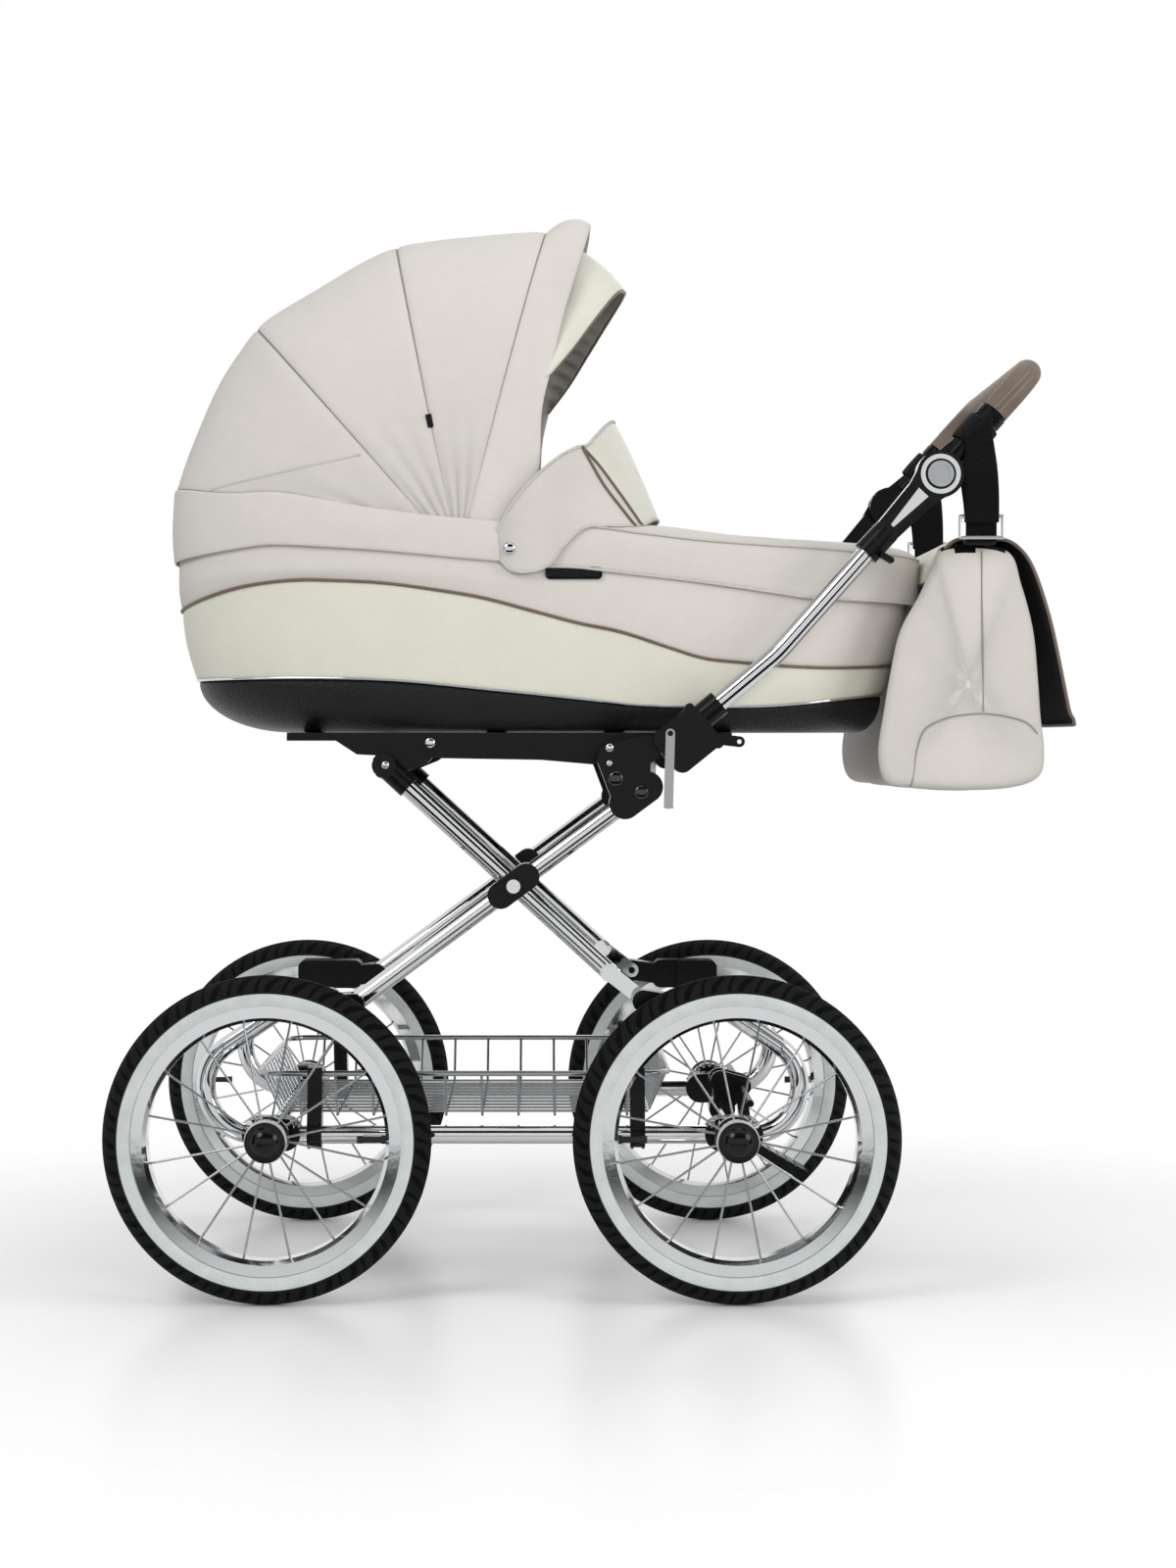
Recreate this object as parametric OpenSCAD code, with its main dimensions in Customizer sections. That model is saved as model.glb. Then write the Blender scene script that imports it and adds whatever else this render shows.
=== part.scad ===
/* [Wheels] */
// Outer diameter of each tyre
wheel_d = 350; // [330:1:370]
// Width of each tyre
tyre_w = 45; // [40:1:50]
// Outer diameter of each rim
rim_d = 287; // [275:1:295]
// Depth of a rim between its lip and its inner edge
rim_depth = 16.5; // [13:0.5:20]
// Width of each rim over its lips
rim_w = 35; // [32:0.5:38]
// Distance from a side rail's centre to the tyre's centre plane
wheel_gap = 61; // [58:0.5:70]
// Distance between the two axles
wheel_base = 500; // [480:1:520]
// Number of spokes in a wheel
spoke_n = 16; // [12:2:24]
// Diameter of a spoke
spoke_d = 2.4; // [1.8:0.1:3]
// Diameter of the hub flanges
flange_d = 46; // [42:1:52]
// Diameter of the axle rods
axle_d = 10; // [8:0.5:12]
// Teeth on each brake ring
ring_teeth = 18; // [12:1:24]

/* [Chassis] */
// Diameter of the chrome frame tubes
tube_d = 20; // [18:0.5:22]
// Distance between the centres of the side rails
rail_span = 408; // [404:1:412]
// Height of the straight side rails above the ground
rail_z = 172; // [168:1:176]
// Centre radius of the spring bends at the rail ends
bend_r = 53; // [48:1:58]
// Slope of the rail ends above the bends
bend_slope = 33.7; // [30:0.1:38]
// Diameter of the cross tubes round the axles
cross_d = 16; // [14:0.5:18]
// Width of a suspension unit
unit_w = 36; // [32:1:40]
// Height of a suspension unit
unit_h = 34; // [30:1:38]

/* [Folding frame] */
// Distance between the centres of the inner legs
inner_span = 360; // [356:1:364]
// Length of the knee links
link_len = 45.6; // [42:0.1:50]
// Diameter of the pivot pins
pin_d = 8; // [6:0.5:9]
// Height of the platform's top face above its pivots
deck_rise = 24; // [22:0.5:28]
// Thickness of the platform's side plates
plate_t = 8; // [6:0.5:10]

/* [Handle] */
// Distance between the centres of the push tubes
push_span = 440; // [436:1:446]
// Distance from the joint to the crossbar's centre
arm_len = 155; // [140:1:170]
// Slope of the handle's arms
arm_slope = 48.4; // [44:0.1:54]
// Diameter of the handle's leather grip
grip_d = 30; // [27:0.5:33]
// Diameter of the bar in the grip
bar_d = 20; // [18:0.5:22]
// Centre radius of the bar's corners
corner_r = 46; // [40:1:60]
// Diameter of the joint discs
disc_d = 51; // [46:1:56]

/* [Basket] */
// Length of the basket's rim
basket_l = 449; // [430:1:455]
// Gap between a side rail's centre and the basket's rim
basket_gap = 18; // [16:0.5:21]
// Height of the basket from floor to rim
basket_h = 50; // [44:1:60]
// Diameter of the rim wire
rim_wire = 6; // [5:0.5:7]
// Diameter of the grid wires
grid_wire = 3; // [2.5:0.5:4]
// Spacing of the cross wires
wire_pitch = 40; // [34:1:48]

/* [Carrycot] */
// Length of the cot's body at the rim
cot_l = 832; // [800:1:840]
// Width of the cot's body at the rim
cot_w = 390; // [370:1:394]
// Height of the cot's rim above its underside
cot_h = 190; // [180:1:200]
// Wall of the padded cot body
cot_wall = 7; // [5:0.5:9]
// Wall of the moulded base tub
tub_wall = 5; // [4:0.5:7]
// Thickness of the cloth covers
cloth_t = 3; // [2.5:0.5:4]
// Thickness of the mattress at its edge
mattress_t = 32; // [26:1:40]
// Radius of the middle hood bow at its top
hood_r = 371; // [350:1:390]
// Diameter of the hood bows
bow_d = 8; // [6:0.5:9]

/* [Bag] */
// Width of the bag across the pram
bag_w = 380; // [360:1:386]
// Width of the webbing straps
strap_w = 38; // [30:1:42]
// Thickness of the webbing
strap_t = 2.5; // [2:0.5:3]
// Diameter of the ring wire
ring_d = 4; // [3:0.5:5]

/* [Clearances] */
// Radial play of a shaft in its bore
run_c = 0.05; // [0.02:0.01:0.1]
// Radial play of a tube in its clamp
fit_c = 0.05; // [0.02:0.01:0.1]
// Gap between pieces that move past each other
gap_c = 0.4; // [0.3:0.05:0.6]
// Gap between pieces that rest on each other
seat_c = 0.3; // [0.2:0.05:0.4]

/* [Hidden] */
$fn = 64;
e = 0.01;
// Axles and wheel planes
base_mid_x = -101;
front_x = base_mid_x - wheel_base / 2;
rear_x = base_mid_x + wheel_base / 2;
axle_z = wheel_d / 2;
rail_y = rail_span / 2;
wheel_y = rail_y + wheel_gap;
basket_w = rail_span - 2 * basket_gap;
inner_y = inner_span / 2;
push_y = push_span / 2;
rim_in_r = rim_d / 2 - rim_depth;
hub_l = tyre_w;
// Ends of the rails: bend centres lie outside the axles
bend_out = 19;
bend_z = rail_z + bend_r;
rail_end = 62;
// Suspension pivots: front legs at foot_f, knee links at foot_u
foot_f = [front_x + 89, 314];
foot_u = [rear_x - 98, 318];
link_a = 142;
knee = foot_u + link_len * [cos(link_a), sin(link_a)];
// Upper ends of the legs and the platform pivot
leg_a_top = [42.3, 539.6];
leg_b_top = [-231, 572];
deck_pivot = [15, 584];
deck_z = deck_pivot[1] + deck_rise;
function meet(a, b, c, d) =
    let (u = b - a, v = d - c, w = c - a, k = (w[0] * v[1] - w[1] * v[0]) / (u[0] * v[1] - u[1] * v[0]))
        a + k * u;
cross = meet(foot_f, leg_a_top, knee, leg_b_top);
leg_a_slope = atan2(leg_a_top[1] - foot_f[1], leg_a_top[0] - foot_f[0]);
leg_b_slope = atan2(knee[1] - leg_b_top[1], knee[0] - leg_b_top[0]);
// Push tubes and handle joint
push_a = [126.6, 635];
push_b = [194.7, 692];
push_c = [300, 811];
joint_p = [370, 886];
housing_p = [97, 600];
housing_a = 39;
lever_p = [79, 607];
bar_y = push_y - 7;
hang_s = 62;
hang_p = joint_p + hang_s * [cos(arm_slope), sin(arm_slope)];
// Pedal pivot
pedal_p = [rear_x + 21, 201];

// Puts a part on both sides of the pram
module both() {
    children();
    mirror([0, 1, 0]) children();
}

// Turns a drawing in X and Y into a side view and gives it a width from y0 to y1
module slab(y0, y1) {
    translate([0, y1, 0]) rotate([90, 0, 0]) linear_extrude(y1 - y0) children();
}

// A pin or drum across the pram
module drum(p, d, y0, y1) {
    translate([p[0], y0, p[1]]) rotate([-90, 0, 0]) cylinder(d = d, h = y1 - y0);
}

// A rod between two points of space
module rod(a, b, d) {
    v = b - a;
    translate(a) rotate([0, acos(v[2] / norm(v)), atan2(v[1], v[0])]) cylinder(d = d, h = norm(v));
}

// A round-ended bar in a drawing
module stadium(a, b, d) {
    v = b - a;
    translate(a) circle(d = d);
    translate(b) circle(d = d);
    translate(a) rotate(atan2(v[1], v[0])) translate([0, 0.05 - d / 2]) square([norm(v), d - 0.1]);
}

// A rectangle with rounded corners, centred
module round_rect(l, w, r) {
    square([l - 2 * r, w], center = true);
    square([l, w - 2 * r], center = true);
    for (i = [-1, 1], j = [-1, 1]) translate([i * (l / 2 - r), j * (w / 2 - r)]) circle(r);
}

// A tube bent in the X and Y plane: straight runs that seat in arcs of one radius
module bent(pts, d, r) {
    n = len(pts);
    seat = 0.3;
    function turn(i) = let (a = pts[i] - pts[i - 1], b = pts[i + 1] - pts[i])
        atan2(a[0] * b[1] - a[1] * b[0], a * b);
    function cut(i) = (i == 0 || i == n - 1) ? 0 : r * tan(abs(turn(i)) / 2);
    for (i = [0 : n - 2]) {
        v = pts[i + 1] - pts[i];
        u = v / norm(v);
        a = pts[i] + u * (cut(i) - (i > 0 ? seat : 0));
        b = pts[i + 1] - u * (cut(i + 1) - (i < n - 2 ? seat : 0));
        translate([a[0], a[1], 0]) rotate([0, 90, atan2(u[1], u[0])]) cylinder(d = d, h = norm(b - a));
    }
    for (i = [1 : 1 : n - 2]) {
        v = pts[i] - pts[i - 1];
        u = v / norm(v);
        s = sign(turn(i));
        p = pts[i] - u * cut(i) + s * r * [-u[1], u[0]];
        translate([p[0], p[1], 0]) rotate(atan2(u[1], u[0]) - s * 90 + (s < 0 ? turn(i) : 0))
            rotate_extrude(angle = abs(turn(i))) translate([r, 0]) circle(d = d + 0.2);
    }
}

// Moves a bent tube drawn in X and Y into a side plane
module in_side(y) {
    translate([0, y, 0]) rotate([90, 0, 0]) children();
}

// Places a wheel part, drawn round Z with its outer side up, on an axle
module at_wheel(x, side) {
    translate([x, side * wheel_y, axle_z]) rotate([side > 0 ? -90 : 90, 0, 0]) children();
}

// Tyre with a round crown, grooved tread and beads that sit between the rim lips
module tyre(x, side) {
    r = tyre_w / 2;
    c = wheel_d / 2 - r;
    color([0.15, 0.16, 0.16]) at_wheel(x, side) rotate_extrude() difference() {
        translate([c, 0]) circle(r);
        translate([0, -r - 1]) square([rim_in_r + 4 + fit_c, tyre_w + 2]);
        for (s = [-1, 1]) translate([0, s * (rim_w / 2 - 2 - fit_c) - (s < 0 ? r : 0)])
            square([rim_d / 2 + fit_c, r]);
        for (s = [-1, 1]) translate([c + r - 0.9, s * tyre_w * 0.15]) square([4, 2], center = true);
    }
}

// Rolled rim: a deep channel with two lips
module rim(x, side) {
    l = rim_w / 2;
    t = 2;
    color([0.85, 0.86, 0.87]) at_wheel(x, side) rotate_extrude() polygon([
        [rim_in_r, -l + 7], [rim_in_r + 4, -l], [rim_d / 2, -l], [rim_d / 2, -l + t], [rim_in_r + 5,
            -l + t],
        [rim_in_r + 5, -l + t + e], [rim_in_r + 4, -l + 8], [rim_in_r + 4, l - 8], [rim_in_r + 5,
            l - t - e],
        [rim_in_r + 5, l - t], [rim_d / 2, l - t], [rim_d / 2, l], [rim_in_r + 4, l], [rim_in_r, l - 7]]);
}

// Wire spokes, laced in turn to the outer and the inner hub flange
module spokes(x, side) {
    r0 = flange_d / 2 + 0.25;
    r1 = rim_in_r - 0.15;
    color([0.85, 0.86, 0.87]) at_wheel(x, side) for (i = [0 : spoke_n - 1])
        rotate(360 / spoke_n * (i + 0.5)) {
        s = i % 2 == 0 ? 1 : -1;
        rod([r0, 0, s * (hub_l / 2 - 8)], [r1, 0, s * 3], spoke_d);
    }
}

// Hub barrel with two flanges and a bore for the axle
module hub(x, side) {
    color([0.8, 0.81, 0.82]) at_wheel(x, side) difference() {
        union() {
            translate([0, 0, -hub_l / 2]) cylinder(d = axle_d + 12, h = hub_l - 2);
            for (s = [-1, 1]) translate([0, 0, s * (hub_l / 2 - 8) - 2.5]) cylinder(d = flange_d, h = 5);
        }
        translate([0, 0, -hub_l]) cylinder(d = axle_d + 2 * run_c, h = 2 * hub_l);
    }
}

// Domed hub cap with a stepped rim, pressed on the hub's outer end
module hub_cap(x, side) {
    r = flange_d / 2 - 1.5;
    color([0.07, 0.07, 0.08]) at_wheel(x, side) translate([0, 0, hub_l / 2 - 5.5]) difference() {
        union() {
            cylinder(r = r, h = 8);
            translate([0, 0, 8]) cylinder(r = r - 2, h = 2.5);
            translate([0, 0, 10.5]) intersection() {
                translate([0, 0, -14]) sphere(r = 21.5);
                cylinder(r = r - 4, h = 20);
            }
        }
        translate([0, 0, -e]) cylinder(d = axle_d + 12 + 2 * fit_c, h = 3.5 + fit_c);
        translate([0, 0, -e]) cylinder(d = axle_d + 2, h = 8);
    }
}

// Rubber valve stem that stands on the rim towards the hub
module valve(x, side, a) {
    color([0.08, 0.08, 0.09]) at_wheel(x, side) rotate(a) translate([rim_in_r - 0.2, 0, 0])
        rotate([0, -90, 0]) {
        cylinder(d = 9, h = 5);
        translate([0, 0, 5]) cylinder(d = 6.5, h = 20);
        translate([0, 0, 25]) cylinder(d = 8, h = 6);
    }
}

// Toothed ring on the inner side of a rear hub, for the parking brake
module brake_ring(x, side) {
    r = flange_d / 2 - 3;
    h = 9;
    color([0.09, 0.09, 0.1]) at_wheel(x, side) translate([0, 0, -hub_l / 2 - h - 0.2]) linear_extrude(h)
        difference() {
        union() {
            circle(r);
            for (i = [0 : ring_teeth - 1]) rotate(360 / ring_teeth * i) translate([r - 1, -1.8])
                square([4, 3.6]);
        }
        circle(d = axle_d + 8);
    }
}

module tyre_front_left() { tyre(front_x, -1); }
module tyre_front_right() { tyre(front_x, 1); }
module tyre_rear_left() { tyre(rear_x, -1); }
module tyre_rear_right() { tyre(rear_x, 1); }
module rim_front_left() { rim(front_x, -1); valve(front_x, -1, 0); }
module rim_front_right() { rim(front_x, 1); valve(front_x, 1, 180); }
module rim_rear_left() { rim(rear_x, -1); valve(rear_x, -1, 180); }
module rim_rear_right() { rim(rear_x, 1); valve(rear_x, 1, 0); }
module spokes_front_left() { spokes(front_x, -1); }
module spokes_front_right() { spokes(front_x, 1); }
module spokes_rear_left() { spokes(rear_x, -1); }
module spokes_rear_right() { spokes(rear_x, 1); }
module hub_front_left() { hub(front_x, -1); hub_cap(front_x, -1); }
module hub_front_right() { hub(front_x, 1); hub_cap(front_x, 1); }
module hub_rear_left() { hub(rear_x, -1); hub_cap(rear_x, -1); brake_ring(rear_x, -1); }
module hub_rear_right() { hub(rear_x, 1); hub_cap(rear_x, 1); brake_ring(rear_x, 1); }

// Side rail: a straight run between the axles whose ends curl up and back as springs
module side_rail(side) {
    seat = 0.3;
    color([0.85, 0.86, 0.87]) in_side(side * rail_y) difference() {
        union() {
            translate([front_x - bend_out - seat, rail_z, 0]) rotate([0, 90, 0]) cylinder(d = tube_d,
                h = wheel_base + 2 * (bend_out + seat));
            translate([front_x - bend_out, bend_z, 0]) spring_end(90 + bend_slope, bend_slope, 1);
            translate([rear_x + bend_out, bend_z, 0]) spring_end(-90, 180 - bend_slope, -1);
        }
        for (x = [front_x, rear_x]) translate([x, axle_z, -tube_d]) cylinder(d = axle_d + 2 * fit_c,
            h = 2 * tube_d);
    }
}
// One curled end: an arc about its centre and the straight piece that enters the suspension unit
module spring_end(a0, slope, s) {
    seat = 0.3;
    rotate(a0) rotate_extrude(angle = 180 - bend_slope) translate([bend_r, 0]) circle(d = tube_d + 0.2);
    translate([-s * bend_r * sin(bend_slope), bend_r * cos(bend_slope), 0]) rotate([0, 90, slope])
        translate([0, 0, -seat]) cylinder(d = tube_d, h = rail_end + seat);
}
module side_rails() {
    side_rail(-1);
    side_rail(1);
}

// Axle rod through both hubs, with a nut at each end
module axle(x) {
    l = wheel_y + hub_l / 2 - 4;
    color([0.8, 0.81, 0.82]) {
        drum([x, axle_z], axle_d, -l, l);
        both() difference() {
            drum([x, axle_z], axle_d + 6, rail_y + bracket_t / 2 + 3.2, wheel_y - hub_l / 2 - 10);
            drum([x, axle_z], axle_d - e, 0, l);
        }
    }
}
module axles() {
    axle(front_x);
    axle(rear_x);
    clamp_screws();
}

// Cross tubes round the axles between the brackets
module cross_tubes() {
    l = rail_y - bracket_t / 2;
    color([0.85, 0.86, 0.87]) for (x = [front_x, rear_x]) difference() {
        drum([x, axle_z], cross_d, -l, l);
        drum([x, axle_z], axle_d + 2 * fit_c, -l - 1, l + 1);
    }
}

// Clamps that hold a rail and an axle together at the four corners
bracket_t = 34;
module rail_clamps() {
    color([0.08, 0.08, 0.09]) both() for (x = [front_x, rear_x]) difference() {
        union() {
            slab(rail_y - bracket_t / 2, rail_y + bracket_t / 2) translate([x, (rail_z + axle_z) / 2]) {
                square([28, tube_d + 15], center = true);
                for (s = [-1, 1]) translate([s * 14, 0]) circle(d = tube_d + 15);
            }
            drum([x, axle_z], 30, rail_y + bracket_t / 2 - 1, rail_y + bracket_t / 2 + 3);
        }
        drum([x, axle_z], axle_d + 2 * fit_c, 0, wheel_y);
        translate([x - 60, rail_y, rail_z]) rotate([0, 90, 0]) cylinder(d = tube_d + 2 * fit_c, h = 120);
        in_side(rail_y) translate([x < base_mid_x ? front_x - bend_out : rear_x + bend_out, bend_z, 0])
            rotate(x < base_mid_x ? 240 : 269) rotate_extrude(angle = 31)
                translate([bend_r, 0]) circle(d = tube_d + 0.2 + 2 * fit_c);
    }
}

// Hex screws in the outer faces of the clamps
module clamp_screws() {
    y = rail_y + bracket_t / 2;
    color([0.85, 0.86, 0.87]) both() for (x = [front_x, rear_x], s = [-1, 1])
        translate([x + s * 23, y, (rail_z + axle_z) / 2 + 12]) rotate([-90, 0, 0]) cylinder(d = 9,
            h = 3.5, $fn = 6);
}

// Rubber-sprung units that carry the legs on the rail ends
module suspension_units() {
    u = [cos(bend_slope), sin(bend_slope)];
    f_in = [front_x - bend_out - bend_r * sin(bend_slope), bend_z + bend_r * cos(bend_slope)];
    r_in = [rear_x + bend_out + bend_r * sin(bend_slope), bend_z + bend_r * cos(bend_slope)];
    f_c = f_in + (rail_end + 14) * u;
    r_c = r_in + (rail_end + 14) * [-u[0], u[1]];
    color([0.08, 0.08, 0.09]) both() {
        // Front unit: a block on the rail end with a fork for the outer leg
        difference() {
            slab(rail_y - unit_w / 2, rail_y + unit_w / 2) {
                translate(f_c + [18, 2]) round_rect(78, unit_h, 9);
                stadium(f_c + [40, 0], foot_f, 24);
            }
            slab(rail_y - tube_d / 2 - gap_c, rail_y + tube_d / 2 + gap_c) {
                stadium(foot_f, foot_f + [60, 10], tube_d + 3);
                stadium(foot_f, foot_f + [48, 36], tube_d + 3);
            }
            in_side(rail_y) translate([f_in[0], f_in[1], 0]) rotate([0, 90, bend_slope])
                cylinder(d = tube_d + 2 * fit_c, h = rail_end + fit_c);
        }
        drum(foot_f, pin_d, rail_y - unit_w / 2 - 2, rail_y + unit_w / 2 + 2);
        // Rear unit: a block with a boss for the knee link, which swings on its inner side
        difference() {
            union() {
                slab(rail_y - unit_w / 2, rail_y + unit_w / 2) translate(r_c + [-18, 2]) round_rect(78,
                    unit_h, 9);
                slab(rail_y - 9, rail_y + unit_w / 2) stadium(r_c + [-40, 0], foot_u, 24);
            }
            slab(0, rail_y - 9) translate(foot_u) circle(link_len + 10);
            in_side(rail_y) translate([r_in[0], r_in[1], 0]) rotate([0, 90, 180 - bend_slope])
                cylinder(d = tube_d + 2 * fit_c, h = rail_end + fit_c);
        }
        drum(foot_u, pin_d, link_y0 - 1, rail_y);
    }
}

// Basket of chrome wire: a rim, cross wires bent up the sides and long wires bent up the ends
basket_x0 = front_x - 18;
basket_x1 = basket_x0 + basket_l;
basket_z1 = rail_z + 64;
basket_z0 = basket_z1 - basket_h;
basket_in = 21;
basket_side = 40;
floor_x0 = basket_x0 + basket_in;
floor_x1 = basket_x1 - basket_in;
floor_y = basket_w / 2 - basket_side;
cross_n = floor((floor_x1 - floor_x0 - 30) / wire_pitch);
cross_x0 = (floor_x0 + floor_x1 - cross_n * wire_pitch) / 2;
long_n = 10;
module basket() {
    basket_rim();
    basket_cross_wires();
    basket_long_wires();
}
module basket_rim() {
    color([0.85, 0.86, 0.87]) translate([0, 0, basket_z1]) {
        r = 30;
        for (s = [-1, 1]) rod([basket_x0 + r, s * basket_w / 2, 0], [basket_x1 - r, s * basket_w / 2, 0],
            rim_wire);
        for (x = [basket_x0, basket_x1]) rod([x, -basket_w / 2 + r, 0], [x, basket_w / 2 - r, 0], rim_wire);
        for (q = [0 : 3]) {
            x = q == 0 || q == 3 ? basket_x1 - r : basket_x0 + r;
            y = q < 2 ? basket_w / 2 - r : r - basket_w / 2;
            translate([x, y, 0]) rotate(q * 90) rotate_extrude(angle = 90) translate([r, 0])
                circle(d = rim_wire);
        }
    }
}
module basket_cross_wires() {
    d = grid_wire;
    l = norm([basket_side, basket_h]);
    k = (rim_wire / 2 + seat_c) / l;
    a = d / 3;
    b = d / 2 + (seat_c * l - a * basket_side) / basket_h;
    color([0.85, 0.86, 0.87]) for (i = [0 : cross_n]) {
        x = cross_x0 + i * wire_pitch;
        rod([x, -floor_y, basket_z0], [x, floor_y, basket_z0], d);
        both() rod([x, floor_y + a, basket_z0 + b],
            [x, floor_y + (1 - k) * basket_side, basket_z0 + (1 - k) * basket_h], d);
    }
}
module basket_long_wires() {
    d = grid_wire;
    z = basket_z0 + d + e;
    h = basket_h - d - e;
    l = norm([basket_in, h]);
    k = (rim_wire / 2 + seat_c) / l;
    a = d / 4;
    b = d / 2 + (seat_c * l - a * basket_in) / h;
    color([0.85, 0.86, 0.87]) for (i = [0 : long_n]) {
        y = -floor_y + 8 + i * (2 * floor_y - 16) / long_n;
        rod([floor_x0, y, z], [floor_x1, y, z], d);
        rod([floor_x0 - a, y, z + b], [floor_x0 - (1 - k) * basket_in, y, z + (1 - k) * h], d);
        rod([floor_x1 + a, y, z + b], [floor_x1 + (1 - k) * basket_in, y, z + (1 - k) * h], d);
    }
}

// Black clips that hang the basket on the rails
clip_x = [front_x + 46, rear_x - 104];
module basket_clips() {
    color([0.08, 0.08, 0.09]) both() for (x = clip_x) difference() {
        union() {
            translate([x, 0, 0]) rotate([90, 0, 90]) translate([0, 0, -8]) linear_extrude(16) {
                translate([rail_y, rail_z]) circle(d = tube_d + 8);
                polygon([[rail_y - 12, rail_z], [rail_y + 9, rail_z + 10], [rail_y - 3, basket_z1 + 8],
                    [basket_w / 2 - 9, basket_z1 + 8], [basket_w / 2 - 9, basket_z1 - 8]]);
            }
            for (k = [-1, 1]) translate([x + k * 6, rail_y, rail_z]) rotate([0, 90, 0])
                translate([0, 0, -1.5]) cylinder(d = tube_d + 11, h = 3);
        }
        translate([x - 20, rail_y, rail_z]) rotate([0, 90, 0]) cylinder(d = tube_d + 2 * fit_c, h = 40);
        translate([x - 20, basket_w / 2, basket_z1]) rotate([0, 90, 0])
            cylinder(d = rim_wire + 2 * fit_c, h = 40);
        for (i = [0 : cross_n]) rod([cross_x0 + i * wire_pitch, floor_y, basket_z0 - 2],
            [cross_x0 + i * wire_pitch, floor_y + basket_side, basket_z0 + basket_h - 2], grid_wire + 9);
    }
}

// Outer legs: from the front units up to the rear castings
module outer_legs() {
    leg_tubes();
    cross_pins();
}
module leg_tubes() {
    color([0.85, 0.86, 0.87]) both() difference() {
        union() {
            rod([foot_f[0], rail_y, foot_f[1]], [leg_a_top[0], rail_y, leg_a_top[1]], tube_d);
            drum(foot_f, tube_d, rail_y - tube_d / 2, rail_y + tube_d / 2);
        }
        drum(foot_f, pin_d + 2 * run_c, 0, wheel_y);
        drum(cross, pin_d + 2 * fit_c, 0, wheel_y);
    }
}

// Clamps where the legs cross: a collar on each outer leg with the pivot pin and a chrome screw
module cross_hubs() {
    u = [cos(leg_a_slope), sin(leg_a_slope)];
    color([0.08, 0.08, 0.09]) both() difference() {
        union() {
            slab(rail_y - tube_d / 2 - 1.5, rail_y + tube_d / 2 + 4) stadium(cross - 17 * u,
                cross + 17 * u, tube_d + 9);
            drum(cross, 22, rail_y + tube_d / 2 + 3, rail_y + tube_d / 2 + 7);
        }
        rod([cross[0] - 60 * u[0], rail_y, cross[1] - 60 * u[1]], [cross[0] + 60 * u[0], rail_y,
            cross[1] + 60 * u[1]], tube_d + 2 * fit_c);
        drum(cross, pin_d + 2 * fit_c, 0, wheel_y);
    }
}
module cross_pins() {
    color([0.85, 0.86, 0.87]) both() {
        drum(cross, pin_d, inner_y - tube_d / 2 - 2, rail_y + tube_d / 2 + 7.2);
        drum(cross, 15, rail_y + tube_d / 2 + 7.2, rail_y + tube_d / 2 + 10.5);
    }
}

// Inner legs: from the knees up to a cross rod that the platform's hooks rest on
module inner_legs() {
    color([0.85, 0.86, 0.87]) both() difference() {
        union() {
            rod([knee[0], inner_y, knee[1]], [leg_b_top[0], inner_y, leg_b_top[1]], tube_d);
            drum(knee, tube_d, inner_y - tube_d / 2, inner_y + tube_d / 2);
            drum(knee, pin_d, inner_y, inner_y + tube_d / 2 + 0.6);
        }
        drum(cross, pin_d + 2 * run_c, 0, wheel_y);
        drum(leg_b_top, hook_rod + 2 * fit_c, 0, inner_y + 4);
    }
}

// Black ends of the inner legs and the rod across them
hook_rod = 12;
module leg_ends() {
    color([0.08, 0.08, 0.09]) {
        drum(leg_b_top, hook_rod, -inner_y - 4, inner_y + 4);
        both() difference() {
            union() {
                drum(leg_b_top, tube_d + 6, inner_y - tube_d / 2 - 1, inner_y + tube_d / 2 + 2.5);
                rod([leg_b_top[0], inner_y, leg_b_top[1]], [leg_b_top[0] + 36 * cos(leg_b_slope),
                    inner_y, leg_b_top[1] + 36 * sin(leg_b_slope)], tube_d + 5);
            }
            rod([leg_b_top[0], inner_y, leg_b_top[1]], [leg_b_top[0] + 60 * cos(leg_b_slope), inner_y,
                leg_b_top[1] + 60 * sin(leg_b_slope)], tube_d + 2 * fit_c);
            drum(leg_b_top, hook_rod + 2 * fit_c, 0, inner_y + 4 + fit_c);
        }
    }
}

// Flat links between the rear units and the knees
link_y0 = inner_y + tube_d / 2 + 0.6 + gap_c;
link_t = 3.2;
module knee_links() {
    color([0.85, 0.86, 0.87]) both() {
        difference() {
            slab(link_y0, link_y0 + link_t) stadium(foot_u, knee, 17);
            drum(foot_u, pin_d + 2 * run_c, 0, wheel_y);
        }
        drum(knee, 11, link_y0 + link_t - e, link_y0 + link_t + 2.4);
    }
}

// Rear castings: plates that join the outer legs to the platform pivot and the handle housings
module rear_castings() {
    y0 = rail_y - 12;
    y1 = rail_y + 16;
    u = [cos(leg_a_slope), sin(leg_a_slope)];
    color([0.08, 0.08, 0.09]) both() difference() {
        union() {
            slab(y0, y1) {
                stadium(deck_pivot + [2, -2], deck_pivot + [40, 6], 30);
                stadium(leg_a_top - 14 * u, leg_a_top + 16 * u, 34);
                stadium(deck_pivot + [2, -4], leg_a_top - 12 * u + [0, 6], 32);
                polygon([deck_pivot, deck_pivot + [44, 18], leg_a_top + 20 * u, leg_a_top]);
            }
            drum(deck_pivot, 26, deck_y + plate_t + gap_c, y0 + 1);
            drum(deck_pivot, pin_d, deck_y - 3, y0 + 1);
            for (p = [[20.3, 557.3], [47.9, 543.2]]) drum(p, 9, y1 - 1, y1 + 2.5);
        }
        rod([foot_f[0], rail_y, foot_f[1]], [leg_a_top[0], rail_y, leg_a_top[1]], tube_d + 2 * fit_c);
    }
}

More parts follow.
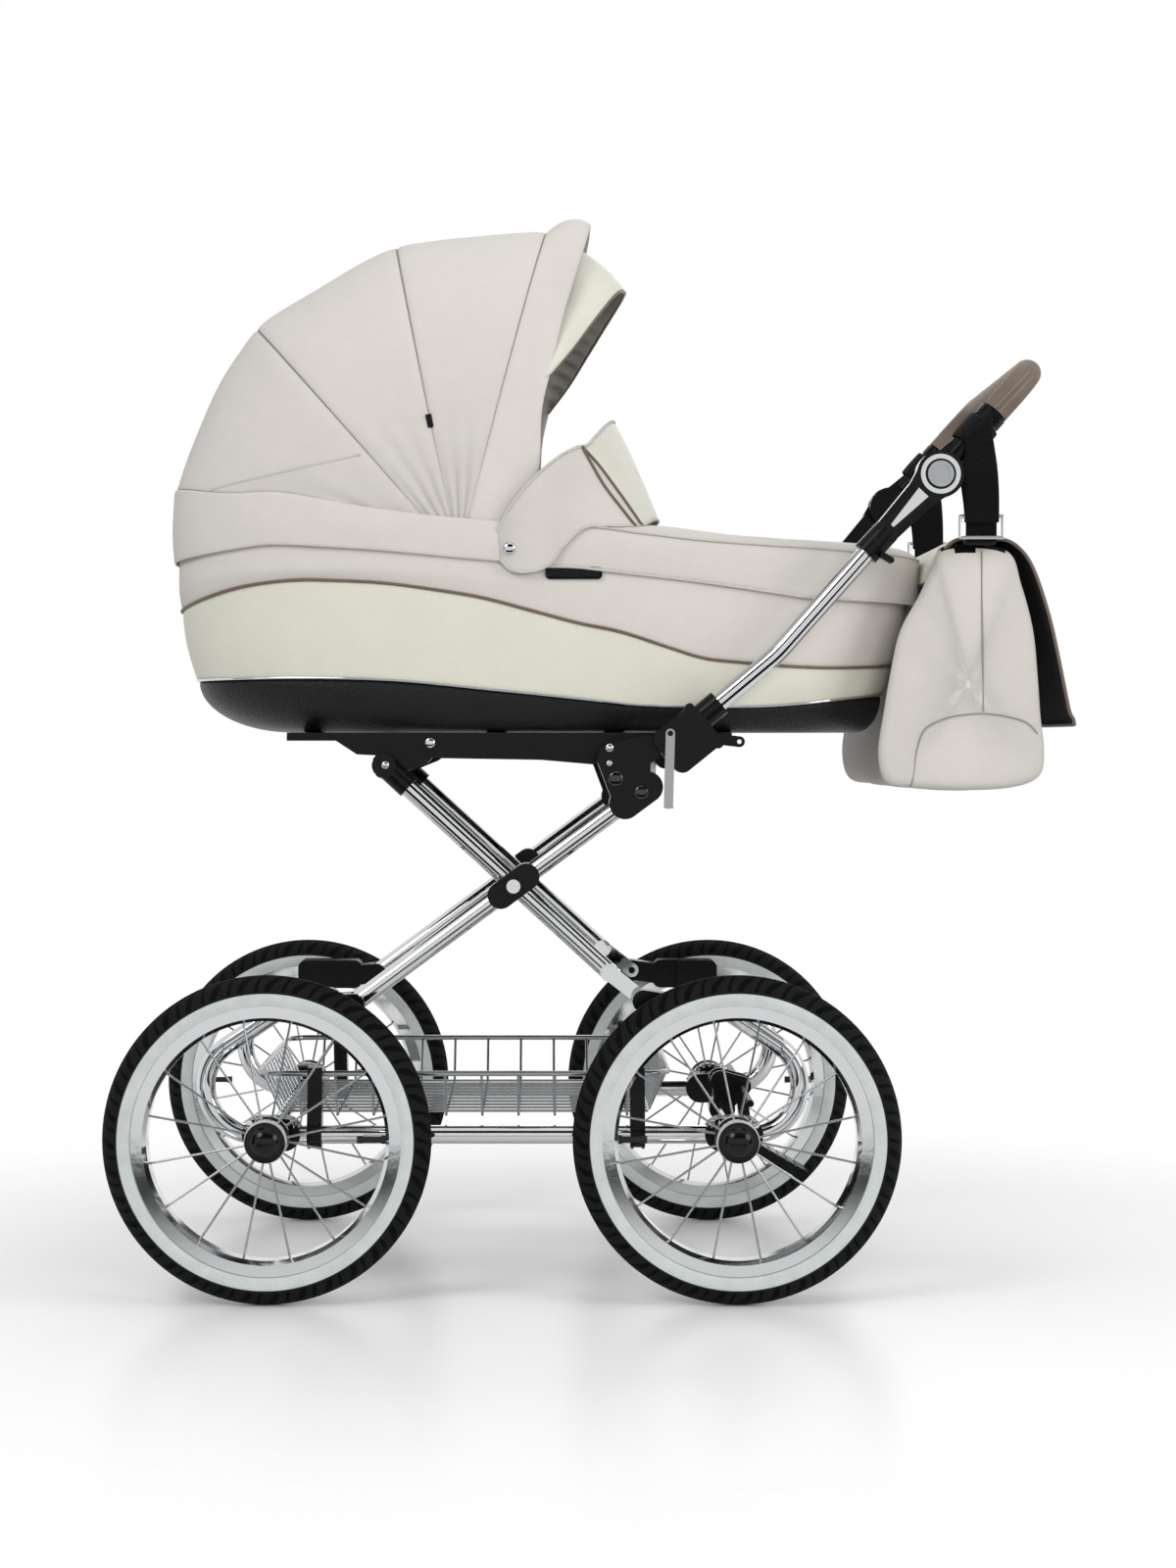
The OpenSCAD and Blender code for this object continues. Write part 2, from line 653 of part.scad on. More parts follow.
// Housings round the feet of the push tubes
housing_l = 60;
housing_w = 54;
housing_y0 = push_y - 19;
housing_y1 = push_y + 18;
module handle_housings() {
    u = [cos(housing_a), sin(housing_a)];
    w = push_b - push_a;
    f = w / norm(w);
    color([0.08, 0.08, 0.09]) both() difference() {
        union() {
            slab(housing_y0, housing_y1) translate(housing_p) rotate(housing_a) {
                round_rect(housing_l, housing_w, 11);
                translate([housing_l / 2 - 6, 0]) round_rect(10, housing_w + 5, 4);
            }
            drum(lever_p, 14, housing_y1 - 1, housing_y1 + 2);
            drum(lever_p, 6, housing_y1, housing_y1 + 6.2);
            translate([push_a[0], push_y, push_a[1]]) rotate([0, 90 - atan2(f[1], f[0]), 0])
                translate([0, 0, -22]) cylinder(d = tube_d + 9, h = 30);
        }
        rod([push_a[0] - 34 * f[0], push_y, push_a[1] - 34 * f[1]], [push_b[0], push_y, push_b[1]],
            tube_d + 2 * fit_c);
        casting_cut();
    }
}
// Room for the casting that carries the housing
module casting_cut() {
    u = [cos(leg_a_slope), sin(leg_a_slope)];
    slab(rail_y - 13, rail_y + 16 + 0.05) {
        stadium(deck_pivot + [2, -2], deck_pivot + [40, 6], 30.1);
        stadium(leg_a_top - 14 * u, leg_a_top + 16 * u, 34.1);
        polygon([deck_pivot, deck_pivot + [44.05, 18.05], leg_a_top + 20.05 * u, leg_a_top]);
    }
}

// Hanging release levers of chrome strip, with a bent foot
module lever(side) {
    color([0.85, 0.86, 0.87]) mirror([0, side < 0 ? 1 : 0, 0]) {
        y0 = housing_y1 + 2 + gap_c;
        difference() {
            slab(y0, y0 + 2.5) stadium(lever_p, lever_p - [2, 76], 10);
            drum(lever_p, 6 + 2 * run_c, 0, y0 + 9);
        }
        slab(y0, y0 + 9) translate(lever_p - [2, 79]) square([10, 2.5], center = true);
    }
}
module lever_left() { lever(-1); }
module lever_right() { lever(1); }

// Platform under the cot: two side plates with hooks and pivots, joined by cross bars
deck_y = 158;
deck_t = 9;
hook_a = 197;
module platform() {
    cot_catches();
    u = [cos(hook_a), sin(hook_a)];
    color([0.08, 0.08, 0.09]) {
        both() difference() {
            slab(deck_y, deck_y + plate_t) difference() {
                union() {
                    polygon([[-339, deck_z], [-339, deck_z - deck_t], [-285, deck_z - deck_t],
                        [-262, deck_z - 24], [-180, deck_z - 28],
                        [-60, deck_z - 30], deck_pivot + [-6, -12], deck_pivot + [12, -10],
                            [60, deck_z - 14], [150, deck_z - 13], [150, deck_z]]);
                    translate(deck_pivot) circle(14);
                    stadium([-192, deck_z - 20], leg_b_top, 30);
                }
                stadium(leg_b_top, leg_b_top + 12 * u, hook_rod + 2 * gap_c);
                polygon([leg_b_top + [0, hook_rod / 2 + gap_c], leg_b_top - [0, hook_rod / 2 + gap_c],
                    leg_b_top + [-50, -26], leg_b_top + [-50, 6]]);
            }
            drum(deck_pivot, pin_d + 2 * run_c, 0, wheel_y);
        }
        for (x = [-325, -120, 10, 128]) translate([x, -deck_y - 1, deck_z - deck_t])
            cube([22, 2 * deck_y + 2, deck_t]);
        both() for (p = [[-183.4, deck_z - 14], [-70, deck_z - 14]]) drum(p, 10, deck_y + plate_t - 1,
            deck_y + plate_t + 2.5);
    }
}

// Chrome catches at the rear of the platform that hold the cot
module cot_catches() {
    color([0.85, 0.86, 0.87]) both() {
        slab(deck_y + plate_t, deck_y + plate_t + 4) difference() {
            stadium([132, deck_z - 7], [158, deck_z - 10], 12);
            translate([158, deck_z - 10]) circle(d = 5);
        }
    }
}

// Parking brake: a bracket on the rear cross tube and a pedal on a rod
bracket_y = 15;
pedal_rod = 8;
module axle_brackets() {
    rail_clamps();
    brake_bracket();
}
module brake_bracket() {
    color([0.08, 0.08, 0.09]) difference() {
        union() {
            slab(-bracket_y, bracket_y) {
                translate([rear_x, axle_z]) circle(d = cross_d + 14);
                translate([rear_x - 10, axle_z]) square([20, 40]);
            }
            for (s = [-1, 1]) slab(s * bracket_y - 3, s * bracket_y + 3) {
                stadium([rear_x - 2, axle_z + 32], pedal_p, 24);
                stadium([rear_x, axle_z], pedal_p, 18);
            }
        }
        drum([rear_x, axle_z], cross_d + 2 * fit_c, -60, 60);
        drum(pedal_p, pedal_rod + 2 * run_c, -60, 60);
        slab(-bracket_y + 3, bracket_y - 3) {
            translate(pedal_p) circle(17);
            translate(pedal_p + [-9, -90]) square([60, 90]);
        }
    }
}
module brake_pedal() {
    y = bracket_y - 3 - gap_c;
    color([0.08, 0.08, 0.09]) difference() {
        union() {
            drum(pedal_p, pedal_rod, -rail_y + bracket_t, rail_y - bracket_t);
            slab(-y, y) {
                translate(pedal_p) circle(d = 20);
                stadium(pedal_p, [rear_x + 30, 138], 13);
            }
            slab(-26, 26) difference() {
                stadium([rear_x + 32, 135], [rear_x + 92, 100], 12);
                for (k = [0 : 4]) translate([rear_x + 44 + k * 10, 135 - k * 5.8]) rotate(-30)
                    square([3, 2.4], center = true);
            }
        }
    }
}

// Chrome push tubes with a slight upward bend
push_bend = 160;
module push_tubes() {
    arm_trim();
    w = push_b - push_a;
    f = w / norm(w);
    v = push_c - push_b;
    g = v / norm(v);
    color([0.85, 0.86, 0.87]) both() in_side(push_y) bent([push_a - 32 * f, push_b, push_c + 14 * g],
        tube_d, push_bend);
}

// Arms from the push tubes to the joints: a clamp collar, a fluted body and the fixed disc
half_t = 13;
module handle_arms() {
    v = joint_p - push_c;
    g = v / norm(v);
    f = (push_b - push_a) / norm(push_b - push_a);
    t = (push_c - push_b) / norm(push_c - push_b);
    n = [-g[1], g[0]];
    y0 = push_y - half_t;
    y1 = push_y + half_t;
    color([0.08, 0.08, 0.09]) both() difference() {
        union() {
            translate([push_c[0], push_y, push_c[1]]) rotate([0, 90 - atan2(g[1], g[0]), 0])
                translate([0, 0, -14]) cylinder(d = tube_d + 9, h = 34);
            slab(y0, y1) polygon([push_c + 14 * g + 13 * n, push_c + 14 * g - 13 * n,
                joint_p - 28 * g - 17 * n, joint_p - 28 * g + 17 * n]);
            slab(push_y + gap_c / 2, y1) {
                translate(joint_p) circle(d = disc_d);
                polygon([joint_p - 30 * g + 17 * n, joint_p - 30 * g - 17 * n,
                    joint_p - 6 * g - disc_d / 2.2 * n, joint_p - 6 * g + disc_d / 2.2 * n]);
            }
            slab(y1 - 8, y1 + 3) stadium(push_c - 4 * g - 15 * n, push_c - 2 * g - 24 * n, 7);
            drum(push_c + 2 * g, 9, y1, y1 + 3.5);
        }
        in_side(push_y) bent([push_b - 60 * f, push_b, push_c + (14 + fit_c) * t], tube_d + 2 * fit_c,
            push_bend);
        // Flutes along the body, the inlay's bed and the joint's bore
        for (k = [-1, 1]) slab(y1 - 1.6, y1 + 1) stadium(push_c + 26 * g + k * 10 * n,
            joint_p - 30 * g + k * 13 * n, 3);
        slab(y1 - 2, y1 + 1) inlay(0.05);
        drum(joint_p, button_d + 2 * run_c, y1 - 8, y1 + 4);
        drum(joint_p, pin_d + 2 * run_c, 0, y1 + 4);
        translate([joint_p[0], y1, joint_p[1]]) rotate([90, 0, 0]) translate([0, 0, -1]) difference() {
            cylinder(d = ring_o, h = 3);
            cylinder(d = ring_i, h = 3);
        }
        clear_disc();
    }
}
// Room beside the fixed disc for the disc that turns
module clear_disc() {
    slab(0, push_y + gap_c / 2) translate(joint_p) circle(d = disc_d + 3);
}
button_d = 28;
ring_o = 43;
ring_i = 33;
module inlay(c) {
    v = joint_p - push_c;
    g = v / norm(v);
    n = [-g[1], g[0]];
    polygon([push_c + 26 * g + (2 + c) * n, push_c + 26 * g - (2 + c) * n,
        joint_p - 27 * g - (7 + c) * n, joint_p - 27 * g + (7 + c) * n]);
}
module arm_trim() {
    y1 = push_y + half_t;
    color([0.85, 0.86, 0.87]) both() {
        slab(y1 - 1.95, y1 + 0.6) inlay(0);
        translate([joint_p[0], y1 + 0.5, joint_p[1]]) rotate([90, 0, 0]) difference() {
            cylinder(d = ring_o - 0.1, h = 2.4);
            translate([0, 0, -1]) cylinder(d = ring_i + 0.1, h = 6);
        }
    }
}
module button(side) {
    y1 = push_y + half_t;
    color([0.75, 0.76, 0.77]) mirror([0, side < 0 ? 1 : 0, 0]) difference() {
        drum(joint_p, button_d, y1 - 4, y1 + 2.5);
        drum(joint_p, button_d - 9, y1 + 1.7, y1 + 4);
    }
}
module button_left() { button(-1); }
module button_right() { button(1); }

// Turning handle: discs at the joints, collars and a bar bent across the pram
module handle_bar() {
    g = [cos(arm_slope), sin(arm_slope)];
    y0 = push_y - half_t;
    y1 = push_y - gap_c / 2;
    color([0.08, 0.08, 0.09]) {
        both() {
            slab(y0, y1) {
                translate(joint_p) circle(d = disc_d - 1);
                polygon([joint_p + [-g[1], g[0]] * 21, joint_p - [-g[1], g[0]] * 21,
                    joint_p + 42 * g - [-g[1], g[0]] * 14, joint_p + 42 * g + [-g[1], g[0]] * 14]);
            }
            translate([joint_p[0], bar_y, joint_p[1]]) rotate([0, 90 - arm_slope, 0])
                translate([0, 0, 26]) cylinder(d = grip_d - 2, h = 50);
            drum(joint_p, pin_d, y1 - 1, push_y + half_t - 9);
            for (k = [0 : 3]) translate([joint_p[0], bar_y, joint_p[1]]) rotate([0, 90 - arm_slope, 0])
                translate([0, 0, 78 + k * 3.2]) cylinder(d = grip_d + 1.5, h = 2);
        }
        translate([joint_p[0], 0, joint_p[1]]) rotate([0, -arm_slope, 0])
            bent([[60, -bar_y], [arm_len, -bar_y], [arm_len, bar_y], [60, bar_y]], bar_d, corner_r);
    }
}
grip_s = 92;
module handle_grip() {
    color([0.41, 0.36, 0.32]) translate([joint_p[0], 0, joint_p[1]]) rotate([0, -arm_slope, 0])
        difference() {
        bent([[grip_s, -bar_y], [arm_len, -bar_y], [arm_len, bar_y], [grip_s, bar_y]], grip_d, corner_r);
        bent([[grip_s - 1, -bar_y], [arm_len, -bar_y], [arm_len, bar_y], [grip_s - 1, bar_y]],
            bar_d + 2 * fit_c, corner_r);
    }
}

// Rows of points made into closed solids. A grid is a list of rows of equal length.
function flat(g) = [for (r = g) each r];
function quads(n, m, o, f) = [for (i = [0 : n - 2], j = [0 : m - 2])
    let (a = o + i * m + j, b = a + 1, c = a + m, d = c + 1) each f ? [[a, b, d], [a, d, c]] : [[a, d,
        b], [a, c, d]]];
function strip(p, q, f) = [for (i = [0 : len(p) - 2]) each f ? [[p[i], p[i + 1], q[i + 1]],
    [p[i], q[i + 1], q[i]]]
    : [[p[i], q[i + 1], p[i + 1]], [p[i], q[i], q[i + 1]]]];
// A sheet with thickness: one grid for its outer face and one for its inner face
module sheet(outer, inner) {
    n = len(outer);
    m = len(outer[0]);
    o = n * m;
    row0 = [for (j = [0 : m - 1]) j];
    row1 = [for (j = [0 : m - 1]) (n - 1) * m + j];
    col0 = [for (i = [0 : n - 1]) i * m];
    col1 = [for (i = [0 : n - 1]) i * m + m - 1];
    function up(l) = [for (k = l) k + o];
    polyhedron(concat(flat(outer), flat(inner)), concat(quads(n, m, 0, true), quads(n, m, o, false),
        strip(row0, up(row0), false), strip(row1, up(row1), true), strip(col0, up(col0), true),
            strip(col1, up(col1), false)));
}
// A cup or a band between closed rings of points; a cup has floors at its first rings
module rings(outer, inner, cup) {
    n = len(outer);
    k = len(inner);
    m = len(outer[0]);
    o = n * m;
    function ring(b) = [for (j = [0 : m]) b + j % m];
    function walls(c, b, f) = [for (i = [0 : c - 2]) each strip(ring(b + i * m), ring(b + (i + 1) * m), f)];
    polyhedron(concat(flat(outer), flat(inner)), concat(walls(n, 0, true), walls(k, o, false),
        strip(ring((n - 1) * m), ring(o + (k - 1) * m), true),
        cup ? [[for (j = [m - 1 : -1 : 0]) j], [for (j = [0 : m - 1]) o + j]] : strip(ring(0), ring(o),
            false)));
}
// A solid between closed rings, with flat ends
module loft(rows) {
    n = len(rows);
    m = len(rows[0]);
    function ring(b) = [for (j = [0 : m]) b + j % m];
    polyhedron(flat(rows), concat([for (i = [0 : n - 2]) each strip(ring(i * m), ring((i + 1) * m), true)],
        [[for (j = [m - 1 : -1 : 0]) j], [for (j = [0 : m - 1]) (n - 1) * m + j]]));
}

// Outline of the cot in plan: an oval with fuller corners
cot_pts = 56;
cot_n = 3.2;
cot_z = deck_z + 0.3;
cot_mid = -57;
cot_a = cot_l / 2;
cot_b = cot_w / 2;
function pw(v, k) = sign(v) * pow(abs(v), k);
function oval(t, a, b) = [a * pw(cos(t), 2 / cot_n), b * pw(sin(t), 2 / cot_n)];
// Height of the trim line above the underside, from the head to the foot
trim_c = [[-450, 58], [-328, 59], [-221, 56], [-115, 46], [-9, 35], [45, 29], [119, 27], [204, 29],
    [327, 42]];
function trim_h(x) = lookup(x, trim_c);
function cot_ring(a0, a1, b, zf) = [for (i = [0 : cot_pts - 1])
    let (t = 360 * i / cot_pts, p = oval(t, (a1 - a0) / 2, b), x = (a0 + a1) / 2 + p[0]) [x, p[1], zf(x)]];
head_x = cot_mid - cot_a;
foot_x = cot_mid + cot_a;

// Moulded base tub: a shallow dish whose rim follows the trim line
module base_tub() {
    function level(k, w) = let (s = sin(90 * k), c = 1 - cos(90 * k))
        cot_ring(head_x + 127 - 105 * s + w, foot_x - 59 + 29 * s - w, 150 + (cot_b - 157) * s - w,
            function (x) cot_z + w + (trim_h(x) - w) * c);
    color([0.08, 0.08, 0.09]) rings([for (k = [0 : 0.2 : 1.001]) level(k, 0)],
        [for (k = [0 : 0.25 : 1.001]) level(k, tub_wall)], true);
}

// Padded cot body: a band from the trim line to the rim, flaring upwards
module cot_body() {
    function level(k, w) = let (s = 1 - pow(1 - k, 2))
        cot_ring(head_x + 20 - 20 * s + w, foot_x - 28 + 28 * s - w, cot_b - 5 + 5 * s - w,
            function (x) cot_z + trim_h(x) + 0.3 + (cot_h - trim_h(x)) * k);
    color([0.84, 0.83, 0.78]) rings([for (k = [0 : 0.25 : 1.001]) level(k, 0)],
        [for (k = [0 : 0.25 : 1.001]) level(k, cot_wall)], false);
}

// Mattress with a soft crown and drawn-in edge
module mattress() {
    z = cot_z + tub_wall + 0.3;
    a0 = head_x + 120;
    a1 = foot_x - 62;
    function level(d, h) = cot_ring(a0 + d, a1 - d, cot_b - 62 - d, function (x) z + h);
    color([0.8, 0.79, 0.77]) loft([level(9, 0), level(0, mattress_t * 0.45), level(3, mattress_t * 0.8),
        level(14, mattress_t),
        level(50, mattress_t + 7), level(90, mattress_t + 11)]);
}

// Curve of one side of a cover in plan, from the middle of an end back along one side and round to the other
function half_oval(t0, n, head, off) = [for (i = [0 : n])
    let (t = (head ? 180 : 0) - t0 + 2 * t0 * i / n, p = oval(t, cot_a + off, cot_b + off))
        [cot_mid + p[0], p[1]]];

// Wide band of cloth round the head end, where the hood is fastened
band_gap = seat_c;
band_t0 = 83;
band_n = 36;
band_lo = [[-480, 190], [-389, 202], [-357, 205], [-300, 202], [-230, 197], [-159, 190], [-90, 184]];
band_hi = [[-480, 274], [-407, 262], [-346, 261], [-265, 246], [-211, 238], [-177, 234], [-90, 226]];
module hood_band() {
    function rows(off) = let (p = half_oval(band_t0, band_n, true, off))
        [for (k = [0 : 0.25 : 1.001]) [for (q = p) let (s = 1 - pow(2 * k - 1, 2))
            [q[0], q[1] + sign(q[1]) * 1.2 * s, cot_z + lookup(q[0], band_lo) * (1 - k) + lookup(q[0],
            band_hi) * k]]];
    color([0.8, 0.79, 0.77]) sheet(rows(band_gap + cloth_t), rows(band_gap));
}

// Half-width of a cover at x, for an oval of half-length a and half-width b
function half_w(x, a, b) = b * pow(max(1 - pow(min(abs(x - cot_mid) / a, 1), cot_n), 0), 1 / cot_n);

// Apron over the foot end: a skirt down the sides and a crowned top
apron_lo = [[-20, 179], [6, 176], [102, 165], [197, 152], [235, 147], [375, 143]];
apron_hi = [[-20, 223], [6, 222], [45, 216], [120, 208], [197, 203], [272, 199], [375, 194]];
apron_top = [[-20, 243], [51, 237], [173, 224], [294, 217], [375, 205]];
apron_x0 = 2;
apron_end = 13;
apron_b = cot_b + band_gap + cloth_t;
module apron() {
    n = 15;
    function station(i, c) = let (x1 = cot_mid + cot_a + apron_end - c - 0.3, x = blend(apron_x0, x1,
        sin(90 * i / n)),
        w = max(half_w(x, cot_a + apron_end - c, apron_b - c), 2), l = cot_z + lookup(x, apron_lo),
            h = cot_z + lookup(x, apron_hi) - c,
        m = max(cot_z + lookup(x, apron_top) - c, h + 1))
        concat([[x, -w, l], [x, -w - 0.8, (l + h) / 2], [x, -w, h - 4]],
            [for (a = [-80 : 20 : 80]) [x, w * sin(a) * 0.985, h + (m - h) * cos(a) * min(1, w / 110)]],
            [[x, w, h - 4], [x, w + 0.8, (l + h) / 2], [x, w, l]]);
    color([0.8, 0.79, 0.77]) sheet([for (i = [0 : n]) station(i, 0)], [for (i = [0 : n])
        station(i, cloth_t)]);
}

// Hood: three bows that turn on one pivot and the panels of cloth between them
hood_p = [-150, cot_z + 192];
bow_a = [131.2, 101.6, 75.5];
bow_r = [hood_r - 13, hood_r, hood_r + 22];
bow_y = [cot_b - 25.5, cot_b - 18.5, cot_b - 11.5];
hood_n = 2.7;
// A point of the arch at turn t from the near side to the far side, in the plane at angle a
function arch(a, r, w, t) = let (y = -w * pw(cos(t), 2 / hood_n), q = r * pw(sin(t), 2 / hood_n))
    [hood_p[0] + q * cos(a), y, hood_p[1] + q * sin(a)];
// Arch swept as a thin tube from its pivot up and over
module bow(k) {
    r = bow_r[k] - bow_d / 2 - cloth_t - 3;
    w = bow_y[k] - bow_d / 2;
    n = 28;
    ts = [for (i = [0 : n]) 3.2 + i * 173.6 / n];
    c = [for (t = ts) arch(bow_a[k], r, w, t)];
    u = [cos(bow_a[k]), 0, sin(bow_a[k])];
    s = [-u[2], 0, u[0]];
    color([0.3, 0.3, 0.31]) {
        loft([for (i = [0 : n]) let (d = c[min(i + 1, n)] - c[max(i - 1, 0)], g = d / norm(d),
            m = cross3(g, s))
            [for (j = [0 : 7]) c[i] + bow_d / 2 * (cos(45 * j) * s - sin(45 * j) * m)]]);
    }
}
function cross3(a, b) = [a[1] * b[2] - a[2] * b[1], a[2] * b[0] - a[0] * b[2], a[0] * b[1] - a[1] * b[0]];
// Eye of a bow: a flat strip from the pivot that the arch stands on
module bow_eye(k) {
    p = arch(bow_a[k], bow_r[k] - bow_d / 2 - cloth_t - 3, bow_y[k] - bow_d / 2, 3.2);
    y = -p[1];
    color([0.3, 0.3, 0.31]) both() difference() {
        slab(y - 2.5, y + 2.5) stadium(hood_p, [p[0], p[2]], 13);
        drum(hood_p, hood_pin + 2 * run_c, 0, wheel_y);
    }
}
hood_pin = 6;
module bow_rear() { bow(0); bow_eye(0); }
module bow_middle() { bow(1); bow_eye(1); }
module bow_front() { bow(2); bow_eye(2); }

// Hinge plates of the hood inside the cot's rim, with the pins that the bows turn on
module hood_hinges() {
    color([0.1, 0.1, 0.11]) both() {
        slab(cot_b - cot_wall - 4, cot_b - cot_wall - 1.6) stadium(hood_p - [0, 4], hood_p - [0, 22], 34);
        drum(hood_p, hood_pin, bow_y[0] - 9, cot_b - cot_wall - 2);
        drum(hood_p, hood_pin + 5, bow_y[0] - 11.5, bow_y[0] - 8.5);
    }
}

// Panels: the rear one rises from the band, the other two run from bow to bow
panel_n = 30;
panel_m = 5;
panel_t0 = 3.6;
function panel_t(i) = panel_t0 + i * (180 - 2 * panel_t0) / panel_n;
function blend(a, b, k) = a * (1 - k) + b * k;
module panel(k0) {
    function row(k, off) = let (a = blend(bow_a[k0], bow_a[k0 + 1], k), dip = 8 * sin(180 * k),
        r = blend(bow_r[k0], bow_r[k0 + 1], k) - dip - off)
        [for (i = [0 : panel_n]) arch(a, r, cot_b - 2 - off, panel_t(i))];
    g = [for (j = [0 : panel_m]) (j + 0.06) / (panel_m + 0.12)];
    color([0.8, 0.79, 0.77]) sheet([for (k = g) row(k, 0)], [for (k = g) row(k, cloth_t)]);
}
module hood_panel_middle() { panel(0); }
module hood_panel_front() { panel(1); }
module hood_panel_rear() {
    function low(off) = let (p = half_oval(70, panel_n, true, band_gap + 1 - off))
        [for (i = [panel_n : -1 : 0]) [p[i][0], p[i][1], cot_z + lookup(p[i][0], band_hi) + 2.2]];
    function row(k, off) = let (b = low(off), r = bow_r[0] - off) [for (i = [0 : panel_n])
        let (q = arch(bow_a[0] + 0.4, r, cot_b - 2 - off, panel_t(i)), m = blend(b[i], q, k),
            w = 10 * sin(180 * k) * sin(180 * i / panel_n)) m + [-w * 0.8, 0, w * 0.5]];
    g = [for (j = [0 : panel_m + 1]) j / (panel_m + 1) * 0.99];
    color([0.8, 0.79, 0.77]) sheet([for (k = g) row(k, 0)], [for (k = g) row(k, cloth_t)]);
}

// Front strip and visor: cloth ahead of the front bow, raised into a cap over the opening
visor_a = 16.2;
visor_lip = 30;
module hood_visor() {
    function row(k, off) = [for (i = [0 : panel_n]) let (t = panel_t(i), s = pow(sin(t), 3),
        a = bow_a[2] - 0.4 - visor_a * k * (1 + 0.5 * pow(1 - sin(t), 6)),
        r = bow_r[2] + (visor_lip * sin(180 * pow(k, 0.62)) - 22 * k * k) * s - off)
            arch(a, r, cot_b - 4.5 - off, t)];
    g = [for (j = [0 : 6]) j / 6];
    color([0.84, 0.83, 0.78]) sheet([for (k = g) row(k, 0)], [for (k = g) row(k, cloth_t)]);
}

// Wind flap: a collar that stands on the apron, with wings that reach forward along the cot's sides.
// Each row gives the lower point, the upper point and the half-width, from a wing's tip to the middle.
flap_rows = [[-104, 187, -107, 218, 0], [-92, 176, -96, 240, 1], [-72, 174, -82, 259, 2], [-50, 182, -62,
    281, 2], [-34, 203, -40, 299, 1],
    [-10, 223, -22, 309, -3], [30, 225, -10, 313, -13], [52, 228, -2, 323, -36], [64, 236, 8, 338, -81],
        [71, 241, 18, 352, -141], [74, 243, 23, 358, -201]];
flap_y = apron_b + 2.2;
module wind_flap() {
    n = len(flap_rows) - 1;
    function side(i) = i <= n ? flap_rows[i] : flap_rows[2 * n - i];
    function half(i) = let (q = side(i)[4]) (i <= n ? -1 : 1) * (q > -200 ? max(flap_y + q, 0) : 0);
    function row(k, c) = [for (i = [0 : 2 * n]) let (r = side(i), y = half(i), q = abs(y) / flap_y,
        lean = 9 * sin(180 * k) * (1 - q * q))
        [blend(r[0], r[2], k) + lean + c * pow(max(1 - q, 0), 0.5), y + sign(y) * c * min(1, q * 1.2),
            cot_z + blend(r[1], r[3], k) + c * (1 - q) * 0.4]];
    g = [for (j = [0 : 5]) j / 5];
    color([0.84, 0.83, 0.78]) sheet([for (k = g) row(k, cloth_t)], [for (k = g) row(k, 0)]);
}

// Changing bag: its side outline at the ends and, hollowed to clear the cot, in the middle
bag_b = bag_w / 2;
bag_end = [[381, 812], [366, 788], [351, 757], [331, 720], [321, 677], [313, 630], [307, 585],
    [316, 553], [348, 547], [414, 545],
    [461, 549], [486, 562], [490, 590], [486, 625], [483, 670], [478, 720], [465, 770], [448, 808]];
bag_mid = [[394, 815], [388, 788], [387, 757], [374, 720], [359, 677], [346, 630], [330, 585],
    [330, 552], [356, 545], [414, 543],
    [463, 547], [489, 560], [493, 590], [491, 625], [488, 670], [482, 720], [468, 770], [450, 811]];
bag_c = [405, 660];
module bag_body() {
    function ring(y) = let (k = pow(abs(y) / bag_b, 1.6)) [for (i = [0 : len(bag_end) - 1])
        let (p = blend(bag_mid[i], bag_end[i], k)) [p[0], y, p[1]]];
    function tip(y, s) = [for (p = bag_end) let (q = bag_c + (p - bag_c) * s) [q[0], y, q[1]]];
    color([0.8, 0.79, 0.77]) loft(concat([tip(bag_b + 3, 0.9)], [for (j = [6 : -1 : -6])
        ring(j * bag_b / 6)], [tip(-bag_b - 3, 0.9)]));
}

// Flap of the bag, hinged along the top and hanging down its rear face
flap_c = [[400, 815], [422, 815.2], [443, 816.5], [459, 809], [475, 787], [492, 737], [505, 680],
    [514, 633], [519, 622],
    [520, 616]];
module bag_flap() {
    m = 8;
    function row(j, off) = [for (i = [0 : len(flap_c) - 1]) let (q = (j - m / 2) / (m / 2),
        p = flap_c[i], a = flap_c[max(i - 1, 0)], b = flap_c[min(i + 1, len(flap_c) - 1)],
        d = (b - a) / norm(b - a), w = (bag_b - 3) * (i > 7 ? 0.985 : 1))
            [p[0] - d[1] * off + 3 * (1 - q * q) * (i > 3 ? 1 : 0), q * w, p[1] + d[0] * off]];
    color([0.84, 0.83, 0.78]) sheet([for (j = [0 : m]) row(j, 0)], [for (j = [0 : m]) row(j, cloth_t)]);
}

// Sleeves of webbing round the handle's arms
sleeve_s = [43, 75];
module strap_sleeves() {
    color([0.06, 0.06, 0.07]) both() translate([joint_p[0], bar_y, joint_p[1]])
        rotate([0, 90 - arm_slope, 0]) difference() {
        translate([0, 0, sleeve_s[0]]) cylinder(d = grip_d - 2 + 2 * strap_t + 2 * fit_c,
            h = sleeve_s[1] - sleeve_s[0]);
        cylinder(d = grip_d - 2 + 2 * fit_c, h = 200);
    }
}
